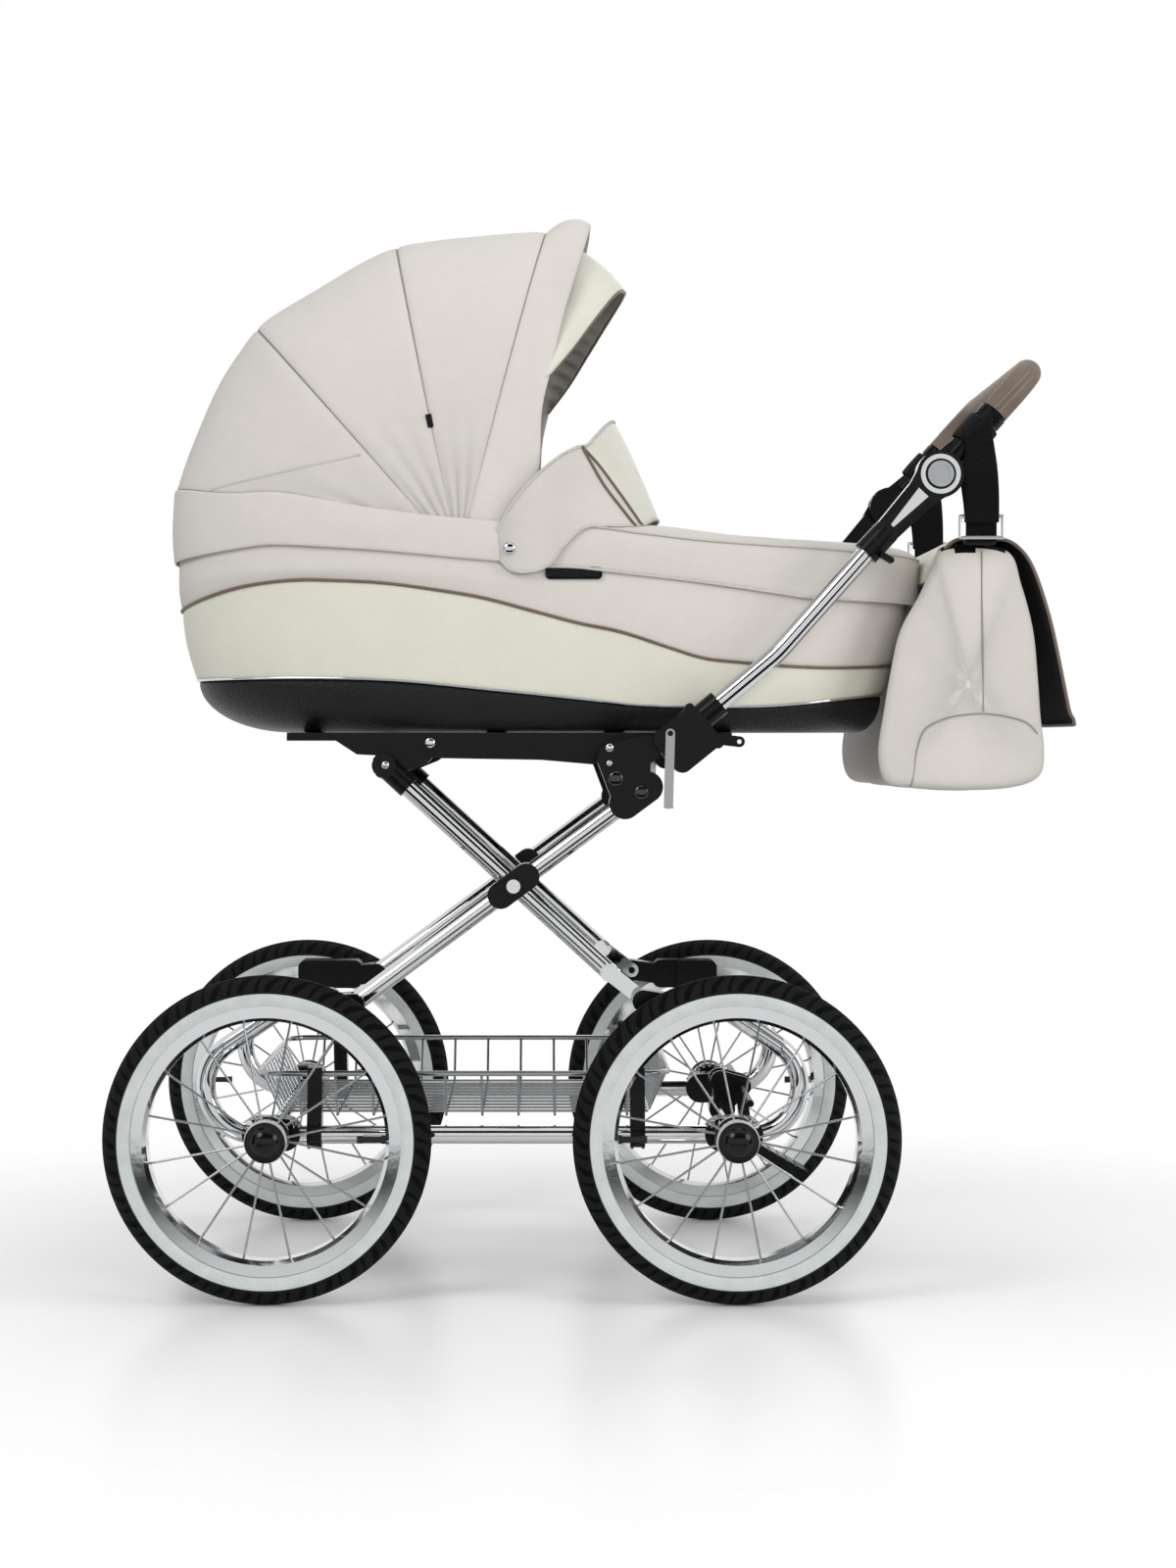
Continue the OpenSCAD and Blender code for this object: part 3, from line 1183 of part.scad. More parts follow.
// Straps that hang from the sleeves to the rings, and the tabs sewn to the bag's ends
ring_z = [819, 842];
ring_x = [394, 440];
ring_y = bar_y;
module bag_straps() {
    r = grip_d / 2 - 1 + strap_t + fit_c + seat_c;
    color([0.06, 0.06, 0.07]) both() {
        difference() {
            for (s = [-1, 1]) slab(bar_y + s * (r + strap_t / 2) - strap_t / 2,
                bar_y + s * (r + strap_t / 2) + strap_t / 2)
                stadium(hang_p, [(ring_x[0] + ring_x[1]) / 2, ring_z[1] + 12], strap_w - 6);
        }
        translate([(ring_x[0] + ring_x[1] - strap_w + 6) / 2, bar_y, 0]) rotate([90, 0, 90])
            linear_extrude(strap_w - 6) difference() {
            polygon([[-r - strap_t, ring_z[1] + 14], [-ring_d / 2 - strap_t, ring_z[1] - 6],
                [ring_d / 2 + strap_t, ring_z[1] - 6], [r + strap_t, ring_z[1] + 14]]);
            polygon([[-r, ring_z[1] + 15], [-ring_d / 2 - fit_c, ring_z[1] - 3.5], [ring_d / 2 + fit_c,
                ring_z[1] - 3.5], [r, ring_z[1] + 15]]);
        }
        translate([(ring_x[0] + ring_x[1] - strap_w + 6) / 2, 0, 0]) rotate([90, 0, 90])
            linear_extrude(strap_w - 6) difference() {
            polygon([[ring_y - ring_d / 2 - strap_t, ring_z[0] + 5], [ring_y + ring_d / 2 + strap_t,
                ring_z[0] + 5], [ring_y + ring_d / 2 + strap_t, ring_z[0] - 4],
                [bag_b + 7, ring_z[0] - 26], [bag_b + 7, ring_z[0] - 70], [bag_b + 3.3, ring_z[0] - 70],
                    [bag_b + 3.3, ring_z[0] - 26]]);
            translate([ring_y, ring_z[0]]) circle(d = ring_d + 2 * fit_c);
        }
    }
}
// Chrome rings between the straps and the tabs
module bag_rings() {
    color([0.85, 0.86, 0.87]) both() in_side(ring_y) {
        for (z = ring_z) translate([ring_x[0], z, 0]) rotate([0, 90, 0]) cylinder(d = ring_d,
            h = ring_x[1] - ring_x[0]);
        for (x = ring_x) translate([x, ring_z[0], 0]) rotate([-90, 0, 0]) cylinder(d = ring_d,
            h = ring_z[1] - ring_z[0]);
        for (x = ring_x, z = ring_z) translate([x, z, 0]) sphere(d = ring_d + 0.2);
    }
}

// Chrome snaps that close the wind flap's wings on the cot
snap_p = [-94, cot_z + 199.5];
module snaps() {
    color([0.85, 0.86, 0.87]) both() drum(snap_p, 13.6, flap_y + 1 + cloth_t + 0.6,
        flap_y + 1 + cloth_t + 3.6);
}

tyre_front_left();
tyre_front_right();
tyre_rear_left();
tyre_rear_right();
rim_front_left();
rim_front_right();
rim_rear_left();
rim_rear_right();
spokes_front_left();
spokes_front_right();
spokes_rear_left();
spokes_rear_right();
hub_front_left();
hub_front_right();
hub_rear_left();
hub_rear_right();
side_rails();
axles();
cross_tubes();
axle_brackets();
suspension_units();
basket();
basket_clips();
brake_pedal();
outer_legs();
cross_hubs();
inner_legs();
leg_ends();
knee_links();
rear_castings();
handle_housings();
lever_left();
lever_right();
platform();
push_tubes();
handle_arms();
button_left();
button_right();
handle_bar();
handle_grip();
base_tub();
cot_body();
mattress();
hood_band();
apron();
wind_flap();
snaps();
hood_hinges();
bow_rear();
bow_middle();
bow_front();
hood_panel_rear();
hood_panel_middle();
hood_panel_front();
hood_visor();
bag_body();
bag_flap();
strap_sleeves();
bag_straps();
bag_rings();
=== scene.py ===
import math
import bpy
import bmesh
from mathutils import Matrix, Vector, noise


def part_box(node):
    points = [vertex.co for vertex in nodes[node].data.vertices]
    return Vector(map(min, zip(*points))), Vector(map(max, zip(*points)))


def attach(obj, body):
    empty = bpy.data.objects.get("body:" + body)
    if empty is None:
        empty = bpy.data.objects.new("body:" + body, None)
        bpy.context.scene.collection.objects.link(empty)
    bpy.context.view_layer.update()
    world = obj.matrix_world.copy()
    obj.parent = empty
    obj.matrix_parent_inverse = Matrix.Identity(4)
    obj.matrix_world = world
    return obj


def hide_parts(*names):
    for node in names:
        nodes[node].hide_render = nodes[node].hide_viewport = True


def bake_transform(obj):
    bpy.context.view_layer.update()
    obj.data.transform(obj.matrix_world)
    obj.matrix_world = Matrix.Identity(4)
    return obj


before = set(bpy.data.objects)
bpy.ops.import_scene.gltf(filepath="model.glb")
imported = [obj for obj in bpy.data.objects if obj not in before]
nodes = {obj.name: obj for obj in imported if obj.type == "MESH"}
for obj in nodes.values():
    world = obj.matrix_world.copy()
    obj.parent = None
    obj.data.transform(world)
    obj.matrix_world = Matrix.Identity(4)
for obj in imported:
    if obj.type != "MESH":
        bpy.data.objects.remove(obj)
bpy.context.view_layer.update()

scene = bpy.context.scene
scene.view_settings.view_transform = "Standard"
print("frame loaded:", len(nodes), "solids")


# Camera and studio
shot = {"place": (-0.0565, -3.254, 0.600), "focal": 2869 / 1200 * 36, "shift": (0.0375, -0.0375)}


def makeCamera():
    data = bpy.data.cameras.new("photoCamera")
    data.sensor_fit = "HORIZONTAL"
    data.sensor_width = 36
    data.lens = shot["focal"]
    data.shift_x, data.shift_y = shot["shift"]
    eye = bpy.data.objects.new("photoCamera", data)
    eye.location = shot["place"]
    eye.rotation_euler = (math.pi / 2, 0, 0)
    scene.collection.objects.link(eye)
    scene.camera = eye


studio = {
    "floor": (0.90, 0.90, 0.90, 1), "floorSize": 14, "floorRough": 0.28, "floorGloss": 0.2,
    "ambient": 0.50,
    "lamps": [  # name, place, aim, size, power
        ("keySoftbox", (-2.2, -2.6, 2.9), (0, 0, 0.7), 1.8, 48),
        ("frontSoftbox", (0.6, -4.0, 1.3), (0, 0, 0.6), 2.4, 60),
        ("topSoftbox", (0.3, 0.2, 3.4), (0, 0, 0.6), 2.4, 16),
        ("fillSoftbox", (2.8, -1.6, 1.6), (0, 0, 0.7), 1.6, 30),
        ("backSoftbox", (0.5, 3.0, 2.2), (0, 0, 0.7), 2.0, 14),
    ],
    "fade": (0.55, 1.25),  # the floor thins out to the white backdrop over these distances
    "flagTone": (0.01, 0.01, 0.01, 1),
    "flags": [  # name, place, width and height of dark cards that only reflections see
        ("highFlag", (0, -3.6, 3.1), (7.0, 2.4)),
        ("topFlag", (0, -0.6, 4.4), (6.0, 0.9)),
        ("lowFlag", (0, -2.8, -1.1), (7.0, 1.9)),
        ("leftFlag", (-3.4, -1.4, 0.9), (1.1, 2.6)),
        ("rightFlag", (3.4, -1.4, 0.9), (1.1, 2.6)),
    ],
}


def paint(r, g, b):  # screen colour 0-255 to linear
    def lin(c):
        c /= 255
        return c / 12.92 if c <= 0.04045 else ((c + 0.055) / 1.055) ** 2.4
    return (lin(r), lin(g), lin(b), 1)


def aimAt(place, target):
    return (Vector(target) - Vector(place)).to_track_quat("-Z", "Y").to_euler()


def meshFrom(name, bm):
    mesh = bpy.data.meshes.new(name)
    bm.to_mesh(mesh)
    bm.free()
    return mesh


def makeStudio():
    bm = bmesh.new()
    bmesh.ops.create_grid(bm, x_segments=1, y_segments=1, size=studio["floorSize"])
    mesh = meshFrom("studioFloor", bm)
    floor = bpy.data.objects.new("studioFloor", mesh)
    scene.collection.objects.link(floor)
    mat = bpy.data.materials.new("studioFloor")
    mat.use_nodes = True
    tree = mat.node_tree
    shader = tree.nodes["Principled BSDF"]
    shader.inputs["Base Color"].default_value = studio["floor"]
    shader.inputs["Roughness"].default_value = studio["floorRough"]
    shader.inputs["Specular IOR Level"].default_value = studio["floorGloss"]
    spot = tree.nodes.new("ShaderNodeTexCoord")
    reach = tree.nodes.new("ShaderNodeVectorMath")
    reach.operation = "LENGTH"
    tree.links.new(spot.outputs["Object"], reach.inputs[0])
    thin = tree.nodes.new("ShaderNodeMapRange")
    thin.interpolation_type = "SMOOTHSTEP"
    thin.inputs["From Min"].default_value = studio["fade"][0]
    thin.inputs["From Max"].default_value = studio["fade"][1]
    thin.inputs["To Min"].default_value = 1.0
    thin.inputs["To Max"].default_value = 0.0
    tree.links.new(reach.outputs["Value"], thin.inputs["Value"])
    tree.links.new(thin.outputs[0], shader.inputs["Alpha"])
    mesh.materials.append(mat)

    world = bpy.data.worlds.new("studioWorld")
    scene.world = world
    world.use_nodes = True
    tree = world.node_tree
    back = tree.nodes["Background"]
    path = tree.nodes.new("ShaderNodeLightPath")
    bright = path.outputs["Is Camera Ray"]
    for ray in ("Is Glossy Ray", "Is Transmission Ray"):
        either = tree.nodes.new("ShaderNodeMath")
        either.operation = "MAXIMUM"
        tree.links.new(bright, either.inputs[0])
        tree.links.new(path.outputs[ray], either.inputs[1])
        bright = either.outputs[0]
    level = tree.nodes.new("ShaderNodeMapRange")
    level.inputs["To Min"].default_value = studio["ambient"]
    level.inputs["To Max"].default_value = 1.0
    tree.links.new(bright, level.inputs["Value"])
    back.inputs["Color"].default_value = (1, 1, 1, 1)
    tree.links.new(level.outputs[0], back.inputs["Strength"])

    for name, place, target, size, power in studio["lamps"]:
        data = bpy.data.lights.new(name, "AREA")
        data.shape = "DISK"
        data.size = size
        data.energy = power
        lamp = bpy.data.objects.new(name, data)
        lamp.location = place
        lamp.rotation_euler = aimAt(place, target)
        lamp.visible_glossy = name != "frontSoftbox"  # the front light stays out of reflections
        scene.collection.objects.link(lamp)

    dark = bpy.data.materials.new("studioFlag")
    dark.use_nodes = True
    tree = dark.node_tree
    tree.nodes.clear()
    out = tree.nodes.new("ShaderNodeOutputMaterial")
    matte = tree.nodes.new("ShaderNodeBsdfDiffuse")
    matte.inputs["Color"].default_value = studio["flagTone"]
    tree.links.new(matte.outputs[0], out.inputs["Surface"])
    for name, place, size in studio["flags"]:
        bm = bmesh.new()
        bmesh.ops.create_grid(bm, x_segments=1, y_segments=1, size=0.5)
        bmesh.ops.scale(bm, vec=(*size, 1), verts=bm.verts)
        turn = aimAt(place, (0, 0, 0.6)).to_matrix().to_4x4()
        bmesh.ops.transform(bm, matrix=Matrix.Translation(place) @ turn, verts=bm.verts)
        mesh = meshFrom(name, bm)
        mesh.materials.append(dark)
        card = bpy.data.objects.new(name, mesh)
        scene.collection.objects.link(card)
        card.visible_camera = False
        card.visible_diffuse = False
        card.visible_shadow = False
        card.visible_transmission = False


makeCamera()
makeStudio()
print("camera and studio ready")


# Shader maths on sockets
class Socket:
    def __init__(self, finish, out):
        self.finish = finish
        self.out = out

    def calc(self, operation, other=0.0, swap=False):
        a, b = (other, self) if swap else (self, other)
        return self.finish.node("ShaderNodeMath", {"operation": operation}, {0: a, 1: b})

    def __add__(self, other):
        return self.calc("ADD", other)

    def __sub__(self, other):
        return self.calc("SUBTRACT", other)

    def __rsub__(self, other):
        return self.calc("SUBTRACT", other, True)

    def __mul__(self, other):
        return self.calc("MULTIPLY", other)

    def __pow__(self, other):
        return self.calc("POWER", other)

    def __gt__(self, other):
        return self.calc("GREATER_THAN", other)

    def __lt__(self, other):
        return self.calc("LESS_THAN", other)

    __radd__ = __add__
    __rmul__ = __mul__


class Finish:
    def __init__(self, name, **fixed):
        self.mat = bpy.data.materials.new(name)
        self.mat.use_nodes = True
        self.tree = self.mat.node_tree
        self.shader = self.tree.nodes["Principled BSDF"]
        for key, value in fixed.items():
            self.shader.inputs[key.replace("_", " ")].default_value = value

    def node(self, kind, settings=None, inputs=None, out=0):
        made = self.tree.nodes.new(kind)
        for key, value in (settings or {}).items():
            if key == "stops":
                ramp = made.color_ramp
                while len(ramp.elements) < len(value):
                    ramp.elements.new(0.5)
                for element, (spot, colour) in zip(ramp.elements, value):
                    element.position = spot
                    element.color = colour
            else:
                setattr(made, key, value)
        for key, value in (inputs or {}).items():
            if isinstance(value, Socket):
                self.tree.links.new(value.out, made.inputs[key])
            else:
                made.inputs[key].default_value = value
        return Socket(self, made.outputs[out])

    def feed(self, name, value):
        self.tree.links.new(value.out, self.shader.inputs[name])

    def place(self, kind="Object"):
        return self.node("ShaderNodeTexCoord", out=kind)

    def split(self, vector):
        return [self.node("ShaderNodeSeparateXYZ", None, {0: vector}, k) for k in range(3)]

    def noise(self, vector, scale, detail=3.0, rough=0.5):
        return self.node("ShaderNodeTexNoise", None,
                         {"Vector": vector, "Scale": scale, "Detail": detail, "Roughness": rough})

    def cells(self, vector, scale, feature="F1", out="Distance"):
        return self.node("ShaderNodeTexVoronoi", {"feature": feature},
                         {"Vector": vector, "Scale": scale}, out)

    def fade(self, value, low, high, toLow=0.0, toHigh=1.0):
        return self.node("ShaderNodeMapRange", {"interpolation_type": "SMOOTHSTEP"},
                         {0: value, 1: low, 2: high, 3: toLow, 4: toHigh})

    def tint(self, factor, first, second):
        return self.node("ShaderNodeMix", {"data_type": "RGBA"}, {0: factor, 6: first, 7: second}, 2)

    def bump(self, height, depth):
        self.feed("Normal", self.node("ShaderNodeBump", None,
                                      {"Height": height, "Distance": depth, "Strength": 1.0}))


# Finishes
tone = {
    "cloth": (paint(196, 191, 185), paint(214, 210, 204)),
    "cream": (paint(196, 195, 181), paint(212, 211, 199)),
    "piping": (paint(88, 74, 65), paint(118, 103, 92)),
    "black": (paint(7, 8, 9), paint(17, 18, 20)),
    "tub": (paint(14, 15, 16), paint(27, 28, 29)),
    "rubber": (paint(11, 12, 13), paint(27, 28, 28)),
    "whiteWall": (paint(178, 185, 182), paint(206, 211, 208)),
    "chrome": (0.62, 0.63, 0.64, 1),
    "shaded": (0.34, 0.35, 0.36, 1),
    "grip": (paint(86, 74, 65), paint(122, 107, 95)),
    "webbing": (paint(6, 6, 7), paint(19, 19, 20)),
    "thread": (paint(150, 138, 126), paint(178, 166, 152)),
    # seam: darker cloth for the sewn seam cords, standing in for the shade in their grooves: painted shade
    "seam": (paint(146, 141, 135), paint(168, 163, 157)),
    "bow": (paint(44, 44, 46), paint(62, 62, 64)),
    "lining": (paint(150, 147, 140), paint(182, 179, 172)),
    "bedding": (paint(208, 205, 198), paint(226, 224, 218)),
    "silver": (0.42, 0.43, 0.44, 1),
}


def ripple(value, pitch):
    return (value * (2 * math.pi / pitch)).calc("SINE")


def weaveFinish(name, colours, pitch=0.0016, depth=0.0003, rough=(0.80, 0.94), sheen=0.2, spread="UV"):
    f = Finish(name, Sheen_Weight=sheen, Sheen_Roughness=0.45, Specular_IOR_Level=sheen)
    u, v, _ = f.split(f.place(spread))
    spot = f.place()
    slub = f.noise(spot, 700, 2.0)
    patch = f.noise(spot, 45, 4.0)
    soft = f.noise(spot, 11, 3.0)
    thread = ripple(u, pitch) * ripple(v, pitch)
    f.feed("Base Color", f.tint(slub * 0.55 + patch * 0.35 + thread * 0.10, *colours))
    f.feed("Roughness", f.fade(slub, 0.3, 0.7, *rough))
    f.bump(thread * 0.35 + slub * 0.8 + soft * 9, depth)
    return f.mat


def hideFinish(name, colours, grain=620, depth=0.00022, rough=(0.38, 0.55)):
    f = Finish(name, Specular_IOR_Level=0.42)
    spot = f.place()
    pebble = f.cells(spot, grain, "SMOOTH_F1")
    fine = f.noise(spot, grain * 2, 2.0)
    patch = f.noise(spot, 22, 4.0)
    f.feed("Base Color", f.tint(pebble * 0.45 + patch * 0.55, *colours))
    f.feed("Roughness", f.fade(pebble + fine * 0.3, 0.1, 0.8, *rough))
    f.bump(pebble * -0.8 + fine * 0.25 + patch * 2.5, depth)
    return f.mat


def mouldedFinish(name, colours, grain, depth, rough, coat=0.0, gloss=0.26):
    f = Finish(name, Specular_IOR_Level=gloss, Coat_Weight=coat, Coat_Roughness=0.08)
    spot = f.place()
    pebble = f.cells(spot, grain, "SMOOTH_F1")
    flow = f.noise(spot, 9, 4.0)
    f.feed("Base Color", f.tint(flow * 0.7 + pebble * 0.3, *colours))
    f.feed("Roughness", f.fade(flow, 0.3, 0.7, *rough))
    f.bump(pebble, depth)
    return f.mat


def chromeFinish(name="chromePlate", rough=(0.035, 0.10), colour=tone["chrome"]):
    f = Finish(name, Base_Color=colour, Metallic=1.0)
    spot = f.place()
    smear = f.noise(spot, 26, 5.0, 0.6)
    f.feed("Roughness", f.fade(smear, 0.35, 0.75, *rough))
    f.bump(f.noise(spot, 60, 2.0), 0.00006)
    return f.mat


wheelZones = {  # distances from the axle, and along it for the barrel, in metres
    "wall": (0.1425, 0.1440), "wallEnd": (0.1562, 0.1574), "tread": (0.1585, 0.1605),
    "rings": (0.1575, 0.1585), "valve": 0.1266, "barrel": (-0.0262, 0.0205),
}


def wheelSpot(f, centre):  # distance from the axle, then x, y and z from the wheel's centre
    spot = f.node("ShaderNodeVectorMath", {"operation": "SUBTRACT"}, {0: f.place(), 1: centre})
    x, y, z = f.split(spot)
    return (x * x + z * z) ** 0.5, x, y, z


def tyreFinish(name, centre):
    f = Finish(name, Specular_IOR_Level=0.10)
    r, x, y, z = wheelSpot(f, centre)
    spot = f.place()
    dust = f.noise(spot, 55, 4.0)
    grit = f.noise(spot, 900, 2.0)
    wall = f.fade(r, *wheelZones["wall"]) * f.fade(r, *wheelZones["wallEnd"], 1.0, 0.0)
    dark = f.tint(dust * 0.6 + grit * 0.4, *tone["rubber"])
    pale = f.tint(dust, *tone["whiteWall"])
    turn = z.calc("ARCTAN2", x) * 70
    sipe = f.fade((turn + y * 300 + (turn * 0.5).calc("SINE") * 0.9).calc("SINE"), 0.25, 0.8)
    band = f.fade(r, *wheelZones["tread"])
    # The sipes are painted near black in the tread band: painted shade in the grooves
    rubberWithSipeShade = f.tint(sipe * band, dark, paint(2, 2, 3))
    f.feed("Base Color", f.tint(wall, rubberWithSipeShade, pale))
    f.feed("Roughness", f.fade(wall, 0.0, 1.0, 0.72, 0.48) + grit * 0.1)
    ring = (r * 3400).calc("SINE") * f.fade(r, *wheelZones["rings"], 1.0, 0.0)
    f.bump(ring * 0.12 + grit * 0.12 - sipe * band, 0.0016)
    return f.mat


def rimFinish(name, centre):  # chrome rim with its black rubber valve
    f = Finish(name)
    metal = wheelSpot(f, centre)[0] > wheelZones["valve"]
    smear = f.noise(f.place(), 30, 5.0, 0.6)
    f.feed("Base Color", f.tint(metal, tone["black"][0], tone["chrome"]))
    f.feed("Metallic", metal)
    f.feed("Roughness", f.fade(metal, 0.0, 1.0, 0.6, 0.04) + smear * 0.06)
    f.bump(smear, 0.00008)
    return f.mat


def hubFinish(name, centre):  # bright barrel with a gloss black cap outside and a dark brake ring inside
    f = Finish(name, Coat_Roughness=0.04, Coat_IOR=1.25, Specular_IOR_Level=0.08)
    out = wheelSpot(f, centre)[2] * (1 if centre[1] > 0 else -1)
    metal = (out > wheelZones["barrel"][0]) * (out < wheelZones["barrel"][1])
    haze = f.noise(f.place(), 80, 4.0)
    f.feed("Base Color", f.tint(metal, f.tint(haze, *tone["black"]), tone["chrome"]))
    f.feed("Metallic", metal)
    f.feed("Roughness", f.fade(metal, 0.0, 1.0, 0.16, 0.10) + haze * 0.06)
    f.feed("Coat Weight", 1 - metal)
    f.bump(haze, 0.00005)
    return f.mat


def brushedFinish(name, colour):
    f = Finish(name, Base_Color=colour, Metallic=0.9)
    spot = f.node("ShaderNodeMapping", None, {"Vector": f.place(), "Scale": (1, 1, 30)})
    grain = f.noise(spot, 240, 3.0)
    f.feed("Roughness", f.fade(grain, 0.3, 0.7, 0.28, 0.42))
    f.bump(grain, 0.00005)
    return f.mat


def webbingFinish(name):
    f = Finish(name, Sheen_Weight=0.05, Specular_IOR_Level=0.10)
    u, v, _ = f.split(f.place("UV"))
    rib = ripple(u + v, 0.0028) * ripple(v, 0.0022)
    fuzz = f.noise(f.place(), 900, 2.0)
    f.feed("Base Color", f.tint(rib * 0.3 + fuzz * 0.6, *tone["webbing"]))
    f.feed("Roughness", f.fade(fuzz, 0.3, 0.7, 0.66, 0.85))
    f.bump(rib * 0.7 + fuzz * 0.5, 0.0004)
    return f.mat


greyCloth = weaveFinish("greyCloth", tone["cloth"])
liningCloth = weaveFinish("visorLining", tone["lining"])
beddingCloth = weaveFinish("bedding", tone["bedding"], 0.003, 0.0006)
mattressCloth = weaveFinish("mattressCloth", tone["bedding"], 0.003, 0.0006, spread="Object")
darkLining = weaveFinish("darkLining", tone["webbing"], sheen=0.04)
# Darker cloth for the seam cords: painted shade in the seam grooves
seamShadeCloth = weaveFinish("seamShadeCloth", tone["seam"])
creamHide = hideFinish("creamHide", tone["cream"])
brownPiping = hideFinish("brownPiping", tone["piping"], 900, 0.0001)
gripHide = hideFinish("gripHide", tone["grip"], 800, 0.00025, (0.45, 0.62))
stitchThread = hideFinish("stitchThread", tone["thread"], 1500, 0.0001, (0.6, 0.8))
blackPlastic = mouldedFinish("blackPlastic", tone["black"], 1400, 0.00006, (0.15, 0.27), gloss=0.14)
glossBlack = mouldedFinish("glossBlack", tone["black"], 900, 0.00002, (0.10, 0.2), 0.8)
tubPlastic = mouldedFinish("tubPlastic", tone["tub"], 420, 0.0009, (0.40, 0.54))
bowSteel = mouldedFinish("bowSteel", tone["bow"], 1200, 0.00005, (0.3, 0.42))
chrome = chromeFinish()
darkChrome = chromeFinish("shadedChrome", (0.08, 0.16), tone["shaded"])
satinSilver = brushedFinish("satinSilver", tone["silver"])
webbing = webbingFinish("blackWebbing")

wheelCentre = {
    "front_left": (-0.351, -0.265, 0.175), "front_right": (-0.351, 0.265, 0.175),
    "rear_left": (0.149, -0.265, 0.175), "rear_right": (0.149, 0.265, 0.175),
}
dress = {
    chrome: ["side_rails", "axles", "cross_tubes", "outer_legs", "inner_legs", "knee_links",
             "push_tubes", "snaps", "bag_rings"],
    darkChrome: ["basket", "lever_left", "lever_right"],
    blackPlastic: ["axle_brackets", "suspension_units", "basket_clips", "brake_pedal", "cross_hubs",
                   "leg_ends", "rear_castings", "handle_housings", "platform", "handle_arms",
                   "handle_bar", "hood_hinges"],
    satinSilver: ["button_left", "button_right"],
    gripHide: ["handle_grip"],
    bowSteel: ["bow_rear", "bow_middle", "bow_front"],
}


def wear(node, material):
    solid = nodes[node]
    solid.data.materials.clear()
    solid.data.materials.append(material)


for material, names in dress.items():
    for name in names:
        wear(name, material)
for wheel, centre in wheelCentre.items():
    wear("spokes_" + wheel, darkChrome)
    wear("tyre_" + wheel, tyreFinish("tyre_" + wheel, centre))
    wear("rim_" + wheel, rimFinish("rim_" + wheel, centre))
    wear("hub_" + wheel, hubFinish("hub_" + wheel, centre))
print("finishes on the solids")


# Shared modelling helpers, all in millimetres until a piece is finished
bothSides = ((-1, "Near"), (1, "Far"))


def lerp(a, b, k):
    return a + (b - a) * k


def along(table, x):  # smooth curve through (x, value) pairs
    if x <= table[0][0]:
        return table[0][1]
    if x >= table[-1][0]:
        return table[-1][1]
    i = max(k for k in range(len(table) - 1) if table[k][0] <= x)
    (x0, y0), (x1, y1) = table[i], table[i + 1]
    before = table[max(i - 1, 0)]
    after = table[min(i + 2, len(table) - 1)]
    m0 = (y1 - before[1]) / (x1 - before[0])
    m1 = (after[1] - y0) / (after[0] - x0)
    h = x1 - x0
    t = (x - x0) / h
    return ((2 * t**3 - 3 * t**2 + 1) * y0 + (t**3 - 2 * t**2 + t) * h * m0
            + (3 * t**2 - 2 * t**3) * y1 + (t**3 - t**2) * h * m1)


def spline(p, f):  # smooth curve from p[1] to p[2] as f goes from 0 to 1
    return 0.5 * (2 * p[1] + (p[2] - p[0]) * f + (2 * p[0] - 5 * p[1] + 4 * p[2] - p[3]) * f * f
                  + (3 * p[1] - p[0] - 3 * p[2] + p[3]) * f**3)


def through(points, t):  # point at t (0 to 1) on a smooth curve through the points
    n = len(points) - 1
    k = min(int(t * n), n - 1)
    f = t * n - k
    p = [Vector(points[min(max(k + j, 0), n)]) for j in (-1, 0, 1, 2)]
    return spline(p, f)


def between(values, u):  # value at u (0 to 1) of an evenly spaced list
    i = u * (len(values) - 1)
    k = min(int(i), len(values) - 2)
    return lerp(values[k], values[k + 1], i - k)


def evenSteps(count, first, last, spotAt, fineness):  # steps whose spots are evenly spaced
    fine = [first + (last - first) * i / fineness for i in range(fineness + 1)]
    spots = [spotAt(t) for t in fine]
    reach = [0.0]
    for p, q in zip(spots, spots[1:]):
        reach.append(reach[-1] + math.dist(p, q))
    steps, k = [], 0
    for i in range(count + 1):
        want = reach[-1] * i / count
        while k < fineness - 1 and reach[k + 1] < want:
            k += 1
        share = (want - reach[k]) / max(reach[k + 1] - reach[k], 1e-9)
        steps.append(fine[k] + share * (fine[1] - fine[0]))
    return steps, reach[-1]


def smoothStep(a, b, x):
    t = min(max((x - a) / (b - a), 0), 1)
    return t * t * (3 - 2 * t)


def sway(p, size, amount, seed=0):  # soft unevenness of cloth
    return amount * noise.noise(Vector(p) / size + Vector((seed * 7.3, seed * 3.1, seed * 5.7)))


def finishPiece(name, bm, material, body, thick=0.0, rounds=1, smooth=True, offset=-1.0):
    mesh = meshFrom(name, bm)
    for layer in material if isinstance(material, list) else [material]:
        mesh.materials.append(layer)
    if smooth:
        mesh.shade_smooth()
    piece = bpy.data.objects.new(name, mesh)
    scene.collection.objects.link(piece)
    if thick:
        wall = piece.modifiers.new("thickness", "SOLIDIFY")
        wall.thickness = thick / 1000
        wall.offset = offset
    if rounds:
        soft = piece.modifiers.new("roundness", "SUBSURF")
        soft.levels = soft.render_levels = rounds
    if body:
        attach(piece, body)
    return piece


def gridMesh(across, up, place, weave, closed=False, flip=False):
    bm = bmesh.new()
    bmesh.ops.create_grid(bm, x_segments=across, y_segments=up, size=1)
    threads = bm.loops.layers.uv.new("weave")
    for face in bm.faces:
        for loop in face.loops:
            spot = loop.vert.co
            loop[threads].uv = ((spot.x + 1) / 2 * weave[0], (spot.y + 1) / 2 * weave[1])
    for vert in bm.verts:
        vert.co = Vector(place((vert.co.x + 1) / 2, (vert.co.y + 1) / 2)) / 1000
    if closed:
        bmesh.ops.remove_doubles(bm, verts=bm.verts, dist=0.00002)
    if flip:
        bmesh.ops.reverse_faces(bm, faces=bm.faces)
    return bm


